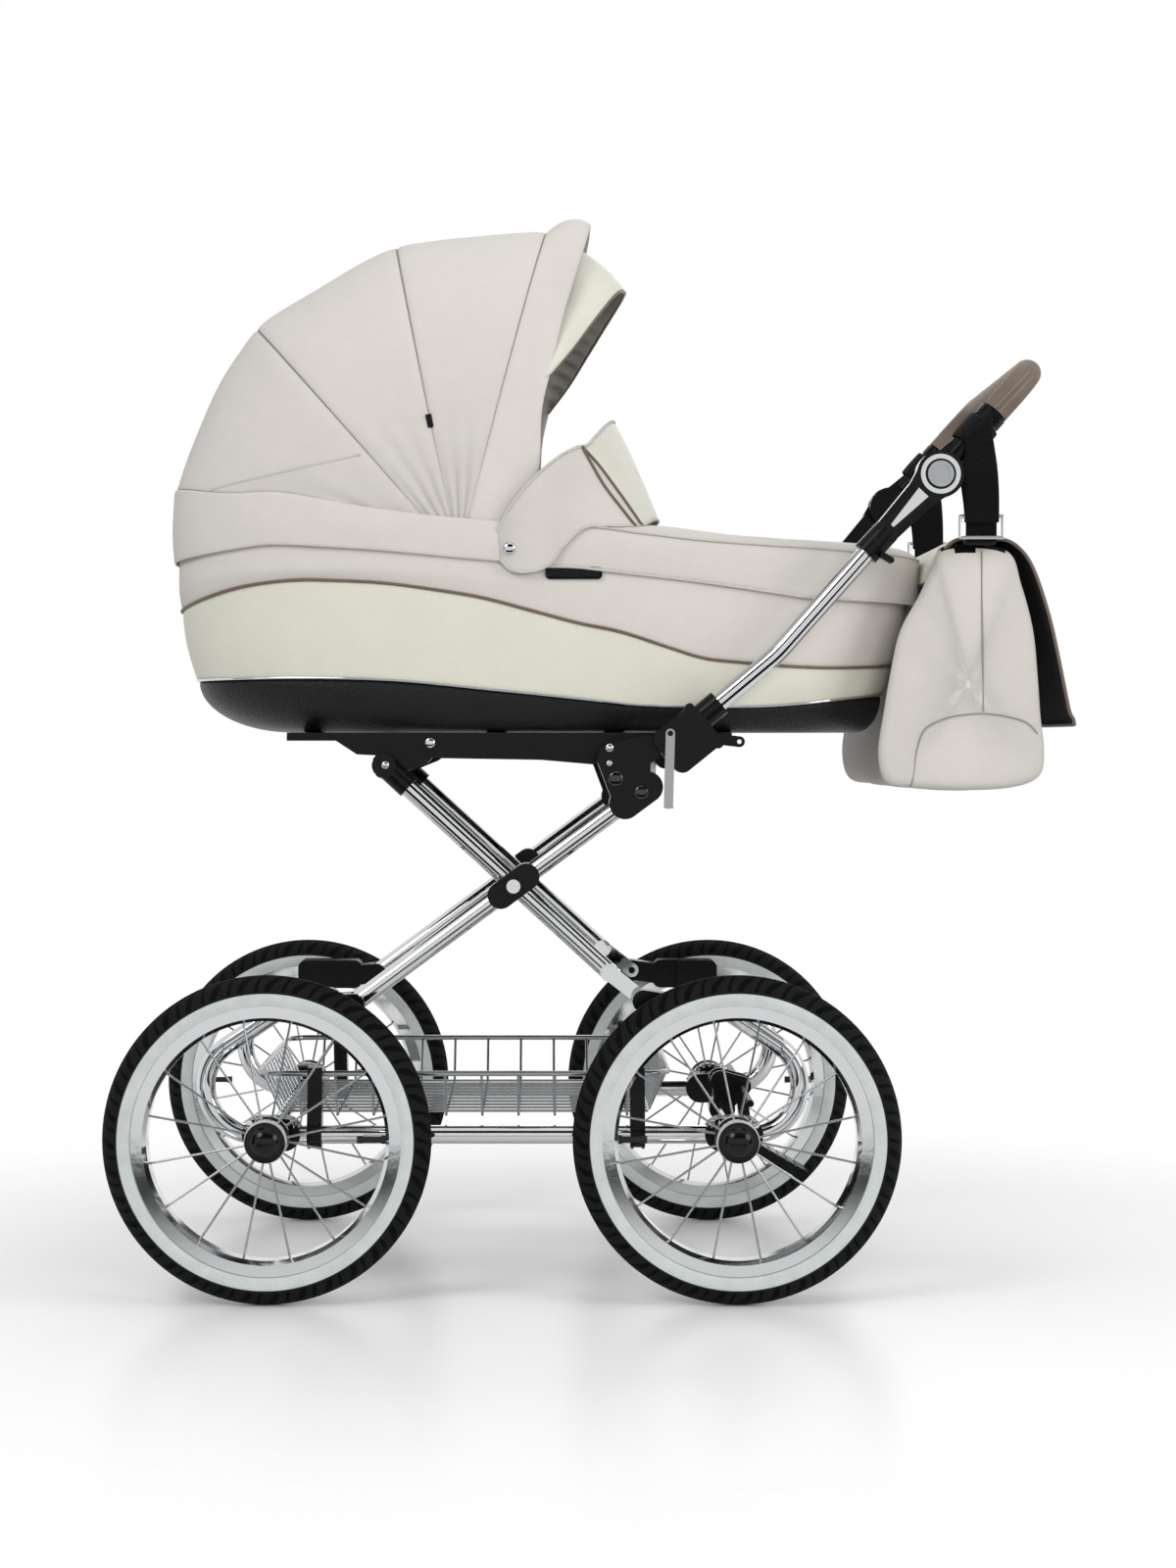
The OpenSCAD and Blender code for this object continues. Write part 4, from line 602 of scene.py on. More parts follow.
def cordMesh(points, radius, closed=False, sides=3):
    data = bpy.data.curves.new("sweep", "CURVE")
    data.dimensions = "3D"
    data.bevel_depth = radius / 1000
    data.bevel_resolution = sides
    data.use_fill_caps = True
    line = data.splines.new("POLY")
    line.points.add(len(points) - 1)
    for knot, p in zip(line.points, points):
        knot.co = (p[0] / 1000, p[1] / 1000, p[2] / 1000, 1)
    line.use_cyclic_u = closed
    holder = bpy.data.objects.new("sweep", data)
    scene.collection.objects.link(holder)
    mesh = bpy.data.meshes.new_from_object(holder.evaluated_get(bpy.context.evaluated_depsgraph_get()))
    bm = bmesh.new()
    bm.from_mesh(mesh)
    bpy.data.objects.remove(holder)
    bpy.data.curves.remove(data)
    bpy.data.meshes.remove(mesh)
    return bm


def pipe(name, points, radius, material, body, closed=False, sides=3):
    return finishPiece(name, cordMesh(points, radius, closed, sides), material, body, rounds=0)


# Carrycot
cot = {
    "mid": -57, "halfLength": 416, "halfWidth": 195, "fullness": 3.2, "base": 608.3, "height": 190,
    "trim": [(-450, 58), (-328, 59), (-221, 56), (-115, 46), (-9, 35), (45, 29), (119, 27), (204, 29),
             (327, 42)],
    "piping": [(-473, 744), (-407, 764), (-371, 771), (-325, 775), (-279, 774), (-230, 771), (-177, 764),
               (-124, 755), (-71, 741), (-18, 727), (26, 718), (83, 700), (121, 689), (159, 685),
               (216, 681), (272, 680), (343, 683)],
    "tuck": 24, "pipingRadius": 1.7, "trimRadius": 1.5, "around": 144,
}
cotHead = cot["mid"] - cot["halfLength"]
cotFoot = cot["mid"] + cot["halfLength"]


def power(v, k):
    return math.copysign(abs(v) ** k, v)


def oval(turn, a, b):
    k = 2 / cot["fullness"]
    return a * power(math.cos(turn), k), b * power(math.sin(turn), k)


def evenTurns(count, first=0.0, last=2 * math.pi):  # turns spaced evenly along the cot's outline
    return evenSteps(count, first, last, lambda t: oval(t, cot["halfLength"], cot["halfWidth"]), 4000)


ringTurns, ringLength = evenTurns(cot["around"])


def trimHeight(x):
    return along(cot["trim"], x)


def cotWall(turn, k, inset=0.0):  # k from the trim line (0) to the rim (1)
    s = 1 - (1 - k) ** 2
    head = cotHead + 20 - 20 * s + inset
    foot = cotFoot - 28 + 28 * s - inset
    x, y = oval(turn, (foot - head) / 2, cot["halfWidth"] - 5 + 5 * s - inset)
    x += (head + foot) / 2
    return x, y, cot["base"] + trimHeight(x) + 0.3 + (cot["height"] - trimHeight(x)) * k


def levelOf(x, z):
    return (z - cot["base"] - trimHeight(x) - 0.3) / (cot["height"] - trimHeight(x))


def wallAtHeight(turn, z, inset=0.0):  # point of the wall at a height that may follow x
    x = cotWall(turn, 0.5)[0]
    k = levelOf(x, z(x))
    return cotWall(turn, min(max(k, 0), 1), inset)


def pipingHeight(x):
    return along(cot["piping"], x)


def turnAt(u):
    return between(ringTurns, u)


def leatherPoint(u, v):
    turn = turnAt(u)
    x = cotWall(turn, 0.5)[0]
    low, high = 0.0, levelOf(x, pipingHeight(x))
    puff = 1.4 * math.sin(math.pi * v) + sway(cotWall(turn, v), 90, 0.7, 1)
    return cotWall(turn, lerp(low, high, v), -puff)


def upperPoint(u, v):
    turn = turnAt(u)
    x = cotWall(turn, 0.5)[0]
    k = lerp(levelOf(x, pipingHeight(x)), 1.0, v)
    puff = 1.8 * math.sin(math.pi * min(v * 1.15, 1)) + sway(cotWall(turn, k), 70, 0.9, 2)
    roll = 2.5 * smoothStep(0.93, 1.0, v)
    x, y, z = cotWall(turn, k, -puff + roll)
    # The cloth runs up inside the hood's band
    tuck = cot["tuck"] * smoothStep(-75, -130, x) * smoothStep(0.45, 1.0, v)
    return x, y, z + tuck


def liningPoint(u, v):
    turn = turnAt(u)
    return cotWall(turn, lerp(0.99, 0.05, v), 5.2 + 1.2 * math.sin(math.pi * v))


lowerMesh = gridMesh(cot["around"], 10, leatherPoint, (ringLength / 1000, 0.11), True)
lower = finishPiece("cotLeather", lowerMesh, creamHide, "cot", 1.6)
upperMesh = gridMesh(cot["around"], 10, upperPoint, (ringLength / 1000, 0.1), True)
upper = finishPiece("cotCloth", upperMesh, greyCloth, "cot", 1.6)
innerMesh = gridMesh(cot["around"], 8, liningPoint, (ringLength / 1000, 0.14), True)
inner = finishPiece("cotLining", innerMesh, beddingCloth, "cot", 1.2)
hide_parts("cot_body")
turnsFine = [turnAt(i / 240) for i in range(240)]
pipingLine = [wallAtHeight(t, pipingHeight, -0.9) for t in turnsFine]
bead = pipe("cotPiping", pipingLine, cot["pipingRadius"], brownPiping, "cot", True)
rimBead = pipe("cotRimBead", [cotWall(t, 0.995, 2.4) for t in turnsFine], 2.6, greyCloth, "cot", True)
trimLine = [cotWall(t, 0.004, -0.6) for t in turnsFine]
trimBead = pipe("cotTrim", trimLine, cot["trimRadius"], chrome, "cot", True)
print("carrycot shell done")


# Moulded tub under the cot
def tubPoint(u, v):
    turn = turnAt(u)
    s, c = math.sin(math.pi / 2 * v), 1 - math.cos(math.pi / 2 * v)
    head, foot = cotHead + 127 - 105 * s, cotFoot - 59 + 29 * s
    x, y = oval(turn, (foot - head) / 2, 150 + (cot["halfWidth"] - 157) * s)
    x += (head + foot) / 2
    return x, y, cot["base"] + trimHeight(x) * c


def tubFloor(bm):  # close the underside
    low = cot["base"] / 1000 + 0.0006
    edges = [e for e in bm.edges if e.is_boundary and max(v.co.z for v in e.verts) < low]
    made = bmesh.ops.edgeloop_fill(bm, edges=edges)["faces"]
    bmesh.ops.inset_region(bm, faces=made, thickness=0.012, depth=0.0)
    bmesh.ops.recalc_face_normals(bm, faces=bm.faces)


tubMesh = gridMesh(cot["around"], 12, tubPoint, (ringLength / 1000, 0.1), True)
tubFloor(tubMesh)
tub = finishPiece("baseTub", tubMesh, tubPlastic, "cot", 4.5)
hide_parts("base_tub")
print("base tub done")


# Hood
hood = {
    "pivot": (-150, 800.3), "fullness": 2.7, "halfWidth": 194, "bandSpread": 89.3,
    "angles": (131.2, 101.6, 75.5), "reach": (358, 371, 393), "startTurn": 2.4, "across": 72,
    "bandLow": [(-480, 190), (-389, 202), (-357, 205), (-300, 202), (-230, 197), (-159, 190), (-90, 184)],
    "bandHigh": [(-480, 274), (-407, 262), (-346, 261), (-265, 246), (-211, 238), (-177, 234), (-90, 226)],
    "stripEdge": [(2, -90, 822), (4, -82, 842), (12.4, -62, 891), (20, -59, 958), (27, -50, 1000),
                  (45, -35, 1071), (65, -20, 1130), (78, -7, 1180), (90, -4, 1198)],
    "visorEdge": [(27, -51, 999), (40, -26, 1030), (55, -1, 1067), (72, 25, 1104), (90, 38, 1118)],
    "pleats": 24, "seamSunk": 2.8, "seamRadius": 1.5,
}


def archPoint(angle, reach, width, turn):
    k = 2 / hood["fullness"]
    t = math.radians(turn)
    q = reach * power(math.sin(t), k)
    a = math.radians(angle)
    x, z = hood["pivot"]
    return Vector((x + q * math.cos(a), -width * power(math.cos(t), k), z + q * math.sin(a)))


def sideArch(turn):
    return archPoint(90, hood["reach"][1], cot["halfWidth"], turn)


archTurns, archLength = evenSteps(hood["across"], hood["startTurn"], 180 - hood["startTurn"], sideArch, 3000)


def archTurn(u):
    return between(archTurns, u)


headCache = {}


def headTurns(spread, u):
    if spread not in headCache:
        low = math.pi + math.radians(spread)
        headCache[spread] = evenTurns(96, low, math.pi - math.radians(spread))[0]
    return between(headCache[spread], u)


def halfOval(spread, u, off):  # round the head end from the near side to the far side
    x, y = oval(headTurns(spread, u), cot["halfLength"] + off, cot["halfWidth"] + off)
    return cot["mid"] + x, y


def creaseIn(v, deep=1.8, width=0.05):  # panel edges tuck in at the seams
    return deep * ((1 - smoothStep(0, width, v)) + smoothStep(1 - width, 1, v))


def panelPoint(k):
    def place(u, v):
        turn = archTurn(u)
        angle = lerp(hood["angles"][k] - 0.07, hood["angles"][k + 1] + 0.07, v)
        crown = math.sin(math.radians(turn)) ** 2
        dip = 8 * math.sin(math.pi * v) * crown + creaseIn(v)
        reach = lerp(hood["reach"][k], hood["reach"][k + 1], v) - dip
        width = hood["halfWidth"] - creaseIn(v) * (1 - crown)
        p = archPoint(angle, reach, width, turn)
        pull = 1 - crown
        fold = 1.6 * math.sin(v * 19 + p.z / 31) * pull * smoothStep(1010, 850, p.z)
        puff = (sway(p, 75, 2.0, 4 + k) + fold) * smoothStep(0, 0.12, v) * smoothStep(1, 0.88, v)
        a = math.radians(angle)
        flank = math.copysign(1 - crown, p.y) if abs(p.y) > 1 else 0
        out = Vector((math.cos(a) * crown, flank, math.sin(a) * crown))
        return p + out * puff
    return place


def rearPoint(u, v):
    x, y = halfOval(70, u, 1.3)
    low = Vector((x, y, cot["base"] + along(hood["bandHigh"], x) + 1))
    turn = archTurn(u)
    width = hood["halfWidth"] - creaseIn(v) * (1 - math.sin(math.radians(turn)) ** 2)
    high = archPoint(hood["angles"][0] + 0.07, hood["reach"][0] - creaseIn(v), width, turn)
    bulge = 11 * math.sin(math.pi * v) * math.sin(math.pi * u)
    p = low.lerp(high, v) + Vector((-0.8 * bulge, 0, 0.5 * bulge))
    side = math.sin(math.pi * u)
    pull = 1.5 * math.sin(v * 15 + u * 9) * (1 - side) * (1 - v)
    puff = sway(p, 80, 2.2, 9) * smoothStep(1, 0.88, v) + pull
    return p + Vector((-side, math.copysign(1 - side, p.y), 0.2)) * puff


def bandPoint(u, v):
    x, y = halfOval(hood["bandSpread"], u, 3.4 + 1.6 * math.sin(math.pi * v))
    z = cot["base"] + lerp(along(hood["bandLow"], x), along(hood["bandHigh"], x) + 2, v)
    p = Vector((x, y, z))
    grow = sway(p, 60, 1.6, 12) * math.sin(math.pi * v)
    return p + Vector(((x - cot["mid"]) / cot["halfLength"], y / cot["halfWidth"], 0)) * grow


def hoodPanel(name, place, depth):
    mesh = gridMesh(hood["across"], 16, place, (archLength / 1000, depth))
    return finishPiece(name, mesh, greyCloth, None, 2.2)


rearPanel = hoodPanel("hoodRearPanel", rearPoint, 0.22)
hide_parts("hood_panel_rear")
middlePanel = hoodPanel("hoodMiddlePanel", panelPoint(0), 0.19)
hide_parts("hood_panel_middle")
frontPanel = hoodPanel("hoodFrontPanel", panelPoint(1), 0.18)
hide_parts("hood_panel_front")
hoodBand = finishPiece("hoodBand", gridMesh(96, 8, bandPoint, (1.05, 0.06)), greyCloth, "cot", 2.6)
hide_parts("hood_band")


def crown(k):
    return archPoint(hood["angles"][k], hood["reach"][k], cot["halfWidth"], 90) / 1000


crown(0)
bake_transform(rearPanel)
crown(0)
crown(1)
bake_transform(middlePanel)
crown(1)
crown(2)
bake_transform(frontPanel)
print("hood panels done")


# Front strip, visor, gathered lining and the dark edge
def edgeCurve(table, turn):
    t = min(turn, 180 - turn)
    x = along([(row[0], row[1]) for row in table], t)
    z = along([(row[0], row[2]) for row in table], t)
    return x, z


def stripPoint(u, v):
    turn = archTurn(u)
    reach = hood["reach"][2] - creaseIn(v, 1.8, 0.08)
    narrow = 0.6 + 1.2 * math.cos(math.radians(turn)) ** 2 * (1 - smoothStep(0, 0.08, v))
    start = archPoint(hood["angles"][2] - 0.07, reach, hood["halfWidth"] - narrow, turn)
    x, z = edgeCurve(hood["stripEdge"], turn)
    end = Vector((x, start.y, z))
    p = start.lerp(end, v)
    high = math.sin(math.radians(turn)) ** 3
    lift = 7 * math.sin(math.pi * v) * high - 5 * smoothStep(0.86, 1, v) * high
    p += Vector((-0.25 * lift, math.copysign(1.5 * math.sin(math.pi * v) * (1 - high), p.y), lift))
    puff = sway(p, 45, 1.7, 21) * smoothStep(0, 0.2, v)
    return p + Vector((0, math.copysign(1, p.y) * (1 - high), high)) * puff


def visorTurn(u):
    return lerp(27, 153, u)


def visorPoint(inset, wave=0.0):
    def place(u, v):
        turn = visorTurn(u)
        x0, z0 = edgeCurve(hood["stripEdge"], turn)
        x1, z1 = edgeCurve(hood["visorEdge"], turn)
        width = cot["halfWidth"] * power(math.cos(math.radians(turn)), 2 / hood["fullness"])
        high = math.sin(math.radians(turn)) ** 2
        root = Vector((x0 - 9 - 10 * high, -width * 0.985, z0 - 4 - 24 * high))
        rim = Vector((x1, -width * (1 - 0.04 * high), z1))
        p = root.lerp(rim, v)
        out = Vector((0.62 * high + 0.1, -math.copysign(1 - high, width), 0.78 * high))
        pleat = wave * math.sin(u * math.pi * hood["pleats"] * 2) * math.sin(math.pi * v) ** 0.6
        swell = (5 - inset * 0.5) * math.sin(math.pi * v) - inset
        return p + out.normalized() * (swell + pleat + sway(p, 50, 0.8, 24))
    return place


stripMesh = gridMesh(hood["across"], 10, stripPoint, (archLength / 1000, 0.07))
strip = finishPiece("hoodFrontStrip", stripMesh, greyCloth, "front_bow", 2.4)
visorMesh = gridMesh(56, 8, visorPoint(0.0), (0.55, 0.08))
visor = finishPiece("hoodVisor", visorMesh, creamHide, "front_bow", 1.4)
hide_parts("hood_visor")
gatherMesh = gridMesh(200, 8, visorPoint(3.6, 1.5), (0.8, 0.08))
gather = finishPiece("visorLining", gatherMesh, liningCloth, "front_bow", 0.8)
rimLine = [visorPoint(1.2)(i / 80, 1.0) for i in range(81)]
visorBead = pipe("visorPiping", rimLine, 2.1, brownPiping, "front_bow")
print("visor done")


# Sewn seams that close the panels over each bow
def seamPoint(k, u, sunk):
    turn = archTurn(u)
    flank = math.cos(math.radians(turn)) ** 2
    return archPoint(hood["angles"][k], hood["reach"][k] - sunk, hood["halfWidth"] - sunk * flank, turn)


for k, word in enumerate(("Rear", "Middle", "Front")):
    line = [seamPoint(k, i / 144, hood["seamSunk"]) for i in range(145)]
    # The seam cords are darker than the panels: painted shade in the seam grooves
    seam = pipe("hoodSeam" + word, line, hood["seamRadius"], seamShadeCloth, word.lower() + "_bow")
print("hood seams done")


# Apron over the foot end
apron = {
    "low": [(-64, 180), (-20, 179), (6, 176), (102, 165), (197, 152), (235, 147), (375, 143)],
    "high": [(-64, 225), (-20, 223), (6, 222), (45, 216), (120, 208), (197, 203), (272, 199), (375, 194)],
    "top": [(-64, 244), (-20, 243), (51, 237), (173, 224), (294, 217), (375, 205)],
    "start": (2, -22, -62), "end": 13, "halfWidth": 198.3, "long": 44, "over": 48,
}


def coverHalf(x, a, b):
    return b * max(1 - min(abs(x - cot["mid"]) / a, 1) ** cot["fullness"], 0) ** (1 / cot["fullness"])


def apronPoint(u, v):
    last = cotFoot + apron["end"] - 0.3
    s = abs(2 * v - 1)  # 1 at the skirt's hem, 0 on the crown
    crownFront, seamFront, hemFront = apron["start"]
    front = lerp(crownFront, seamFront, smoothStep(0.4, 0.74, s))
    if s >= 0.74:
        front = lerp(seamFront, hemFront, (s - 0.74) / 0.26)
    x = lerp(front, last, math.sin(math.pi / 2 * u))
    w = max(coverHalf(x, cot["halfLength"] + apron["end"], apron["halfWidth"]), 2)
    low = cot["base"] + along(apron["low"], x)
    high = cot["base"] + along(apron["high"], x)
    top = max(cot["base"] + along(apron["top"], x), high + 1)
    near = -1 if v < 0.5 else 1
    if s > 0.74:
        k = (s - 0.74) / 0.26
        z = lerp(high - 5, low, k)
        y = w + 1.0 * math.sin(math.pi * k) + sway((x, near * w, z), 55, 1.2, 31) * math.sin(math.pi * k)
        return x, near * y, z
    a = math.radians(86) * s / 0.74
    y = w * math.sin(a) ** 0.9 * 0.995
    z = high - 1 + (top - high) * math.cos(a) * min(1, w / 110)
    p = (x, near * y, z)
    return x, near * y, z + sway(p, 62, 2.4, 33) * math.cos(a) ** 0.5 * smoothStep(0, 0.12, u)


coverMesh = gridMesh(apron["long"], apron["over"], apronPoint, (0.42, 0.62))
cover = finishPiece("apronCover", coverMesh, greyCloth, "cot", 2.6)
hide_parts("apron")
for side, word in bothSides:
    v = 0.5 + side * 0.5 * 0.74
    seam = []
    for i in range(61):
        x, y, z = apronPoint(0.004 + 0.98 * i / 60, v)
        seam.append((x, y + side * 0.5, z + 0.6))
    bead = pipe("apronSeam" + word, seam, 1.2, greyCloth, "cot")
    hem = [apronPoint(0.004 + 0.98 * i / 60, 0.5 + side * 0.4985) for i in range(61)]
    hemBead = pipe("apronHem" + word, hem, 1.7, greyCloth, "cot")
print("apron done")


# Wind flap that stands on the apron
windFlap = {
    # Foot x and height, head x and height, and how far the half width differs there
    "rows": [(-104, 187, -107, 218, 0), (-92, 176, -96, 240, 1), (-72, 174, -82, 259, 2),
             (-50, 182, -62, 281, 2), (-34, 203, -40, 299, 1), (-10, 223, -22, 309, -3),
             (30, 225, -10, 313, -13), (52, 228, -2, 323, -36), (64, 236, 8, 338, -81),
             (71, 241, 18, 352, -141), (74, 243, 23, 358, -201)],
    "corner": [(834, 51.2), (855, 36.7), (878, 19.8), (900, 2.9), (919, -15.3), (940, -40)],
    "halfWidth": 200.5,
}


def flapRow(s):  # s from a wing's tip (0) to the middle (1)
    rows = windFlap["rows"]
    base = through([(r[0], r[1], 0) for r in rows], s)
    head = through([(r[2], r[3], 0) for r in rows], s)
    half = through([(max(windFlap["halfWidth"] + r[4], 0), 0, 0) for r in rows], s)
    return base, head, max(half.x, 0)


def flapPoint(lift):
    def place(u, v):
        s = 1 - abs(2 * u - 1)
        side = -1 if u < 0.5 else 1
        base, head, half = flapRow(s)
        q = half / windFlap["halfWidth"]
        lean = 3 * math.sin(math.pi * v) * (1 - q * q)
        x = lerp(base.x, head.x, v) + lean + lift * max(1 - q, 0) ** 0.5
        z = cot["base"] + lerp(base.y, head.y, v) + lift * (1 - q) * 0.4
        y = side * (half + lift * min(1, q * 1.2))
        p = (x, y, z)
        soft = sway(p, 48, 1.5, 41) * math.sin(math.pi * v)
        return x + soft * (1 - q), y + side * soft * q, z
    return place


flapMesh = gridMesh(96, 14, flapPoint(2.6), (0.9, 0.13))
for face in flapMesh.faces:
    spot = face.calc_center_median() * 1000
    face.material_index = 0 if spot.x < along(windFlap["corner"], spot.z) else 1
collar = finishPiece("windFlap", flapMesh, [greyCloth, creamHide], "cot", 2.4)
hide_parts("wind_flap")
rim = [flapPoint(2.0)(i / 140, 1.0) for i in range(141)]
rimPipe = pipe("flapRim", rim, 1.8, greyCloth, "cot")
hem = [flapPoint(2.0)(i / 140, 0.0) for i in range(141)]
hemPipe = pipe("flapHem", hem, 1.5, greyCloth, "cot")
print("wind flap done")


# Mattress, swelled as cloth and then quilted
bed = {
    "floor": 613.6, "inset": (123, 65, 65), "voxel": 5.5, "pressure": 4, "frames": 20, "cap": 6,
    "profile": [(60, 0), (9, 0), (0, 13), (3, 23), (14, 28), (50, 33), (90, 36), (132, 37.5)],
    "quilt": 74, "channel": 6.5, "deep": 2.6,
}


def bedPoint(u, v):
    step = through([(d, h, 0) for d, h in bed["profile"]], v)
    head, foot = cotHead + bed["inset"][0] + step.x, cotFoot - bed["inset"][1] - step.x
    x, y = oval(turnAt(u), (foot - head) / 2, max(cot["halfWidth"] - bed["inset"][2] - step.x, 0.5))
    return x + (head + foot) / 2, y, bed["floor"] + step.y


def evenMesh(bm, voxel):  # the same shape in even quads
    mesh = meshFrom("even", bm)
    holder = bpy.data.objects.new("even", mesh)
    scene.collection.objects.link(holder)
    grid = holder.modifiers.new("voxels", "REMESH")
    grid.mode = "VOXEL"
    grid.voxel_size = voxel / 1000
    even = bpy.data.meshes.new_from_object(holder.evaluated_get(bpy.context.evaluated_depsgraph_get()))
    bpy.data.objects.remove(holder)
    bpy.data.meshes.remove(mesh)
    return even


def swell(mesh, pressure, frames, cap):  # cloth under pressure, each point held within the cap
    holder = bpy.data.objects.new("swell", mesh)
    scene.collection.objects.link(holder)
    cloth = holder.modifiers.new("swell", "CLOTH")
    cloth.settings.use_pressure = True
    cloth.settings.uniform_pressure_force = pressure
    cloth.settings.effector_weights.gravity = 0
    cloth.point_cache.frame_end = frames
    for frameNumber in range(1, frames + 1):
        scene.frame_set(frameNumber)
    soft = bpy.data.meshes.new_from_object(holder.evaluated_get(bpy.context.evaluated_depsgraph_get()))
    for vert, moved in zip(mesh.vertices, soft.vertices):
        step = moved.co - vert.co
        vert.co += step * min(1, cap / 1000 / max(step.length, 1e-9))
    bpy.data.objects.remove(holder)
    bpy.data.meshes.remove(soft)
    scene.frame_set(1)


def channelDepth(across):  # 1 in the middle of a sewn line
    off = abs(across / bed["quilt"] % 1 - 0.5) * bed["quilt"]
    return math.exp(-(off / bed["channel"]) ** 2)


bedMesh = gridMesh(96, 26, bedPoint, (1.2, 0.3), True)
bmesh.ops.holes_fill(bedMesh, edges=[e for e in bedMesh.edges if e.is_boundary], sides=0)
bmesh.ops.recalc_face_normals(bedMesh, faces=bedMesh.faces)
padMesh = evenMesh(bedMesh, bed["voxel"])
swell(padMesh, bed["pressure"], bed["frames"], bed["cap"])
bm = bmesh.new()
bm.from_mesh(padMesh)
bpy.data.meshes.remove(padMesh)
bm.normal_update()
for vert in bm.verts:
    x, y, z = vert.co * 1000
    sewn = max(channelDepth(x + y), channelDepth(x - y)) * smoothStep(0.55, 0.9, vert.normal.z)
    vert.co.z = max(z - bed["deep"] * sewn, bed["floor"]) / 1000
mattress = finishPiece("mattressPad", bm, mattressCloth, "cot", 0)
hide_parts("mattress")
print("mattress done")


# Changing bag
bag = {
    "end": [(381, 812), (366, 788), (351, 757), (331, 720), (321, 677), (313, 630), (307, 585),
            (316, 553), (348, 547), (414, 545), (461, 549), (486, 562), (490, 590), (486, 625),
            (483, 670), (478, 720), (465, 770), (448, 808)],
    "mid": [(394, 815), (388, 788), (387, 757), (374, 720), (359, 677), (346, 630), (330, 585),
            (330, 552), (356, 545), (414, 543), (463, 547), (489, 560), (493, 590), (491, 625),
            (488, 670), (482, 720), (468, 770), (450, 811)],
    "centre": (405, 660), "half": 190, "around": 108, "over": 54, "topLine": 806.5,
    "flap": [(400, 815), (422, 815.2), (443, 816.5), (459, 809), (475, 787), (492, 737), (505, 680),
             (514, 633), (519, 622), (520, 616)],
    "fold": [(371, 774), (374, 789), (381, 804), (391, 814), (400, 817.4)],
    "seam": [(420.5, 806), (420, 760), (421, 700), (421.5, 631)],
    "patch": [(343, 549), (346, 562), (349, 587), (357.5, 610.7), (376.4, 621.9), (395.4, 626.7),
              (421.7, 628.6), (448, 625.4), (469, 618.8), (481, 607)],
}


def bagOutline(u, k):  # side outline at turn u, from the middle (k = 0) to the ends (k = 1)
    n = len(bag["end"])
    i = int(u * n) % n
    f = u * n - int(u * n)
    p = []
    for j in (-1, 0, 1, 2):
        m, e = bag["mid"][(i + j) % n], bag["end"][(i + j) % n]
        p.append(Vector((lerp(m[0], e[0], k), lerp(m[1], e[1], k))))
    return spline(p, f)


def bagCap(s):  # height of the end panel above the end plane, s = 0 at its centre and 1 at its edge
    if s > 0.93:
        return 2.2 - 11 * (1 - math.sqrt(max(1 - ((s - 0.93) / 0.07) ** 2, 0)))
    return 2.2 + 2.6 * (1 - (s / 0.93) ** 2)


def bagPoint(u, v):
    side = -1 if v < 0.5 else 1
    w = min(v, 1 - v)
    if w < 0.24:
        s = math.sin(math.pi / 2 * w / 0.24)
        spot = bagOutline(u, 1)
        x = lerp(bag["centre"][0], spot.x, max(s, 0.004))
        z = lerp(bag["centre"][1], spot.y, max(s, 0.004))
        y = side * (bag["half"] + bagCap(s))
        fold = 1 - s**6
        y += side * (sway((x, 0, z), 70, 2.4, 41) + sway((x, 0, z), 30, 1.0, 43)) * fold
        # Pull lines below the fold of the flap
        pull = math.exp(-((x - 385) / 26) ** 2 - ((z - 770) / 20) ** 2)
        y += side * 1.5 * pull * math.sin((x - z) / 5.5)
        return x, y, z
    y = lerp(-(bag["half"] - 8.8), bag["half"] - 8.8, (v - 0.24) / 0.52)
    spot = bagOutline(u, min(abs(y) / bag["half"], 1) ** 1.6)
    away = (spot - Vector(bag["centre"])).normalized()
    p = (spot.x, y, spot.y)
    soft = (sway(p, 85, 2.6, 45) + sway(p, 34, 0.9, 47)) * (1 - (abs(y) / 185) ** 8)
    return spot.x + away.x * soft, y, spot.y + away.y * soft


bagMesh = gridMesh(bag["around"], bag["over"], bagPoint, (1.1, 0.62), True)
bmesh.ops.holes_fill(bagMesh, edges=[e for e in bagMesh.edges if e.is_boundary], sides=0)
bmesh.ops.recalc_face_normals(bagMesh, faces=bagMesh.faces)
for face in bagMesh.faces:
    if face.calc_center_median().z * 1000 > bag["topLine"]:
        face.material_index = 1
bagBody = finishPiece("bagBody", bagMesh, [greyCloth, darkLining], "bag")
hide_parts("bag_body")


def bagEndSpot(x, z, side, lift=0.2):  # point of the end panel at x, z
    c = Vector(bag["centre"])
    way = Vector((x, z)) - c
    best, reach = 9, 1
    for i in range(720):
        spot = bagOutline(i / 720, 1) - c
        turn = abs(way.angle_signed(spot))
        if turn < best:
            best, reach = turn, spot.length
    return x, side * (bag["half"] + bagCap(min(way.length / reach, 1)) + lift), z


for side, word in bothSides:
    for label, line in (("bagSeam", bag["seam"]), ("bagPatch", bag["patch"])):
        marks = [through([(p[0], 0, p[1]) for p in line], i / 40) for i in range(41)]
        # The seam and patch lines are darker than the bag: painted shade in their grooves
        bead = pipe(label + word, [bagEndSpot(p.x, p.z, side) for p in marks], 0.9, seamShadeCloth, "bag")
print("bag done")


# Flap of the bag: cream outside, black inside, piped along its edges
def flapCurve(points, t, off):
    line = [(p[0], 0, p[1]) for p in points]
    spot = through(line, t)
    way = (through(line, min(t + 0.01, 1)) - through(line, max(t - 0.01, 0))).normalized()
    return spot.x - way.z * off, spot.z + way.x * off


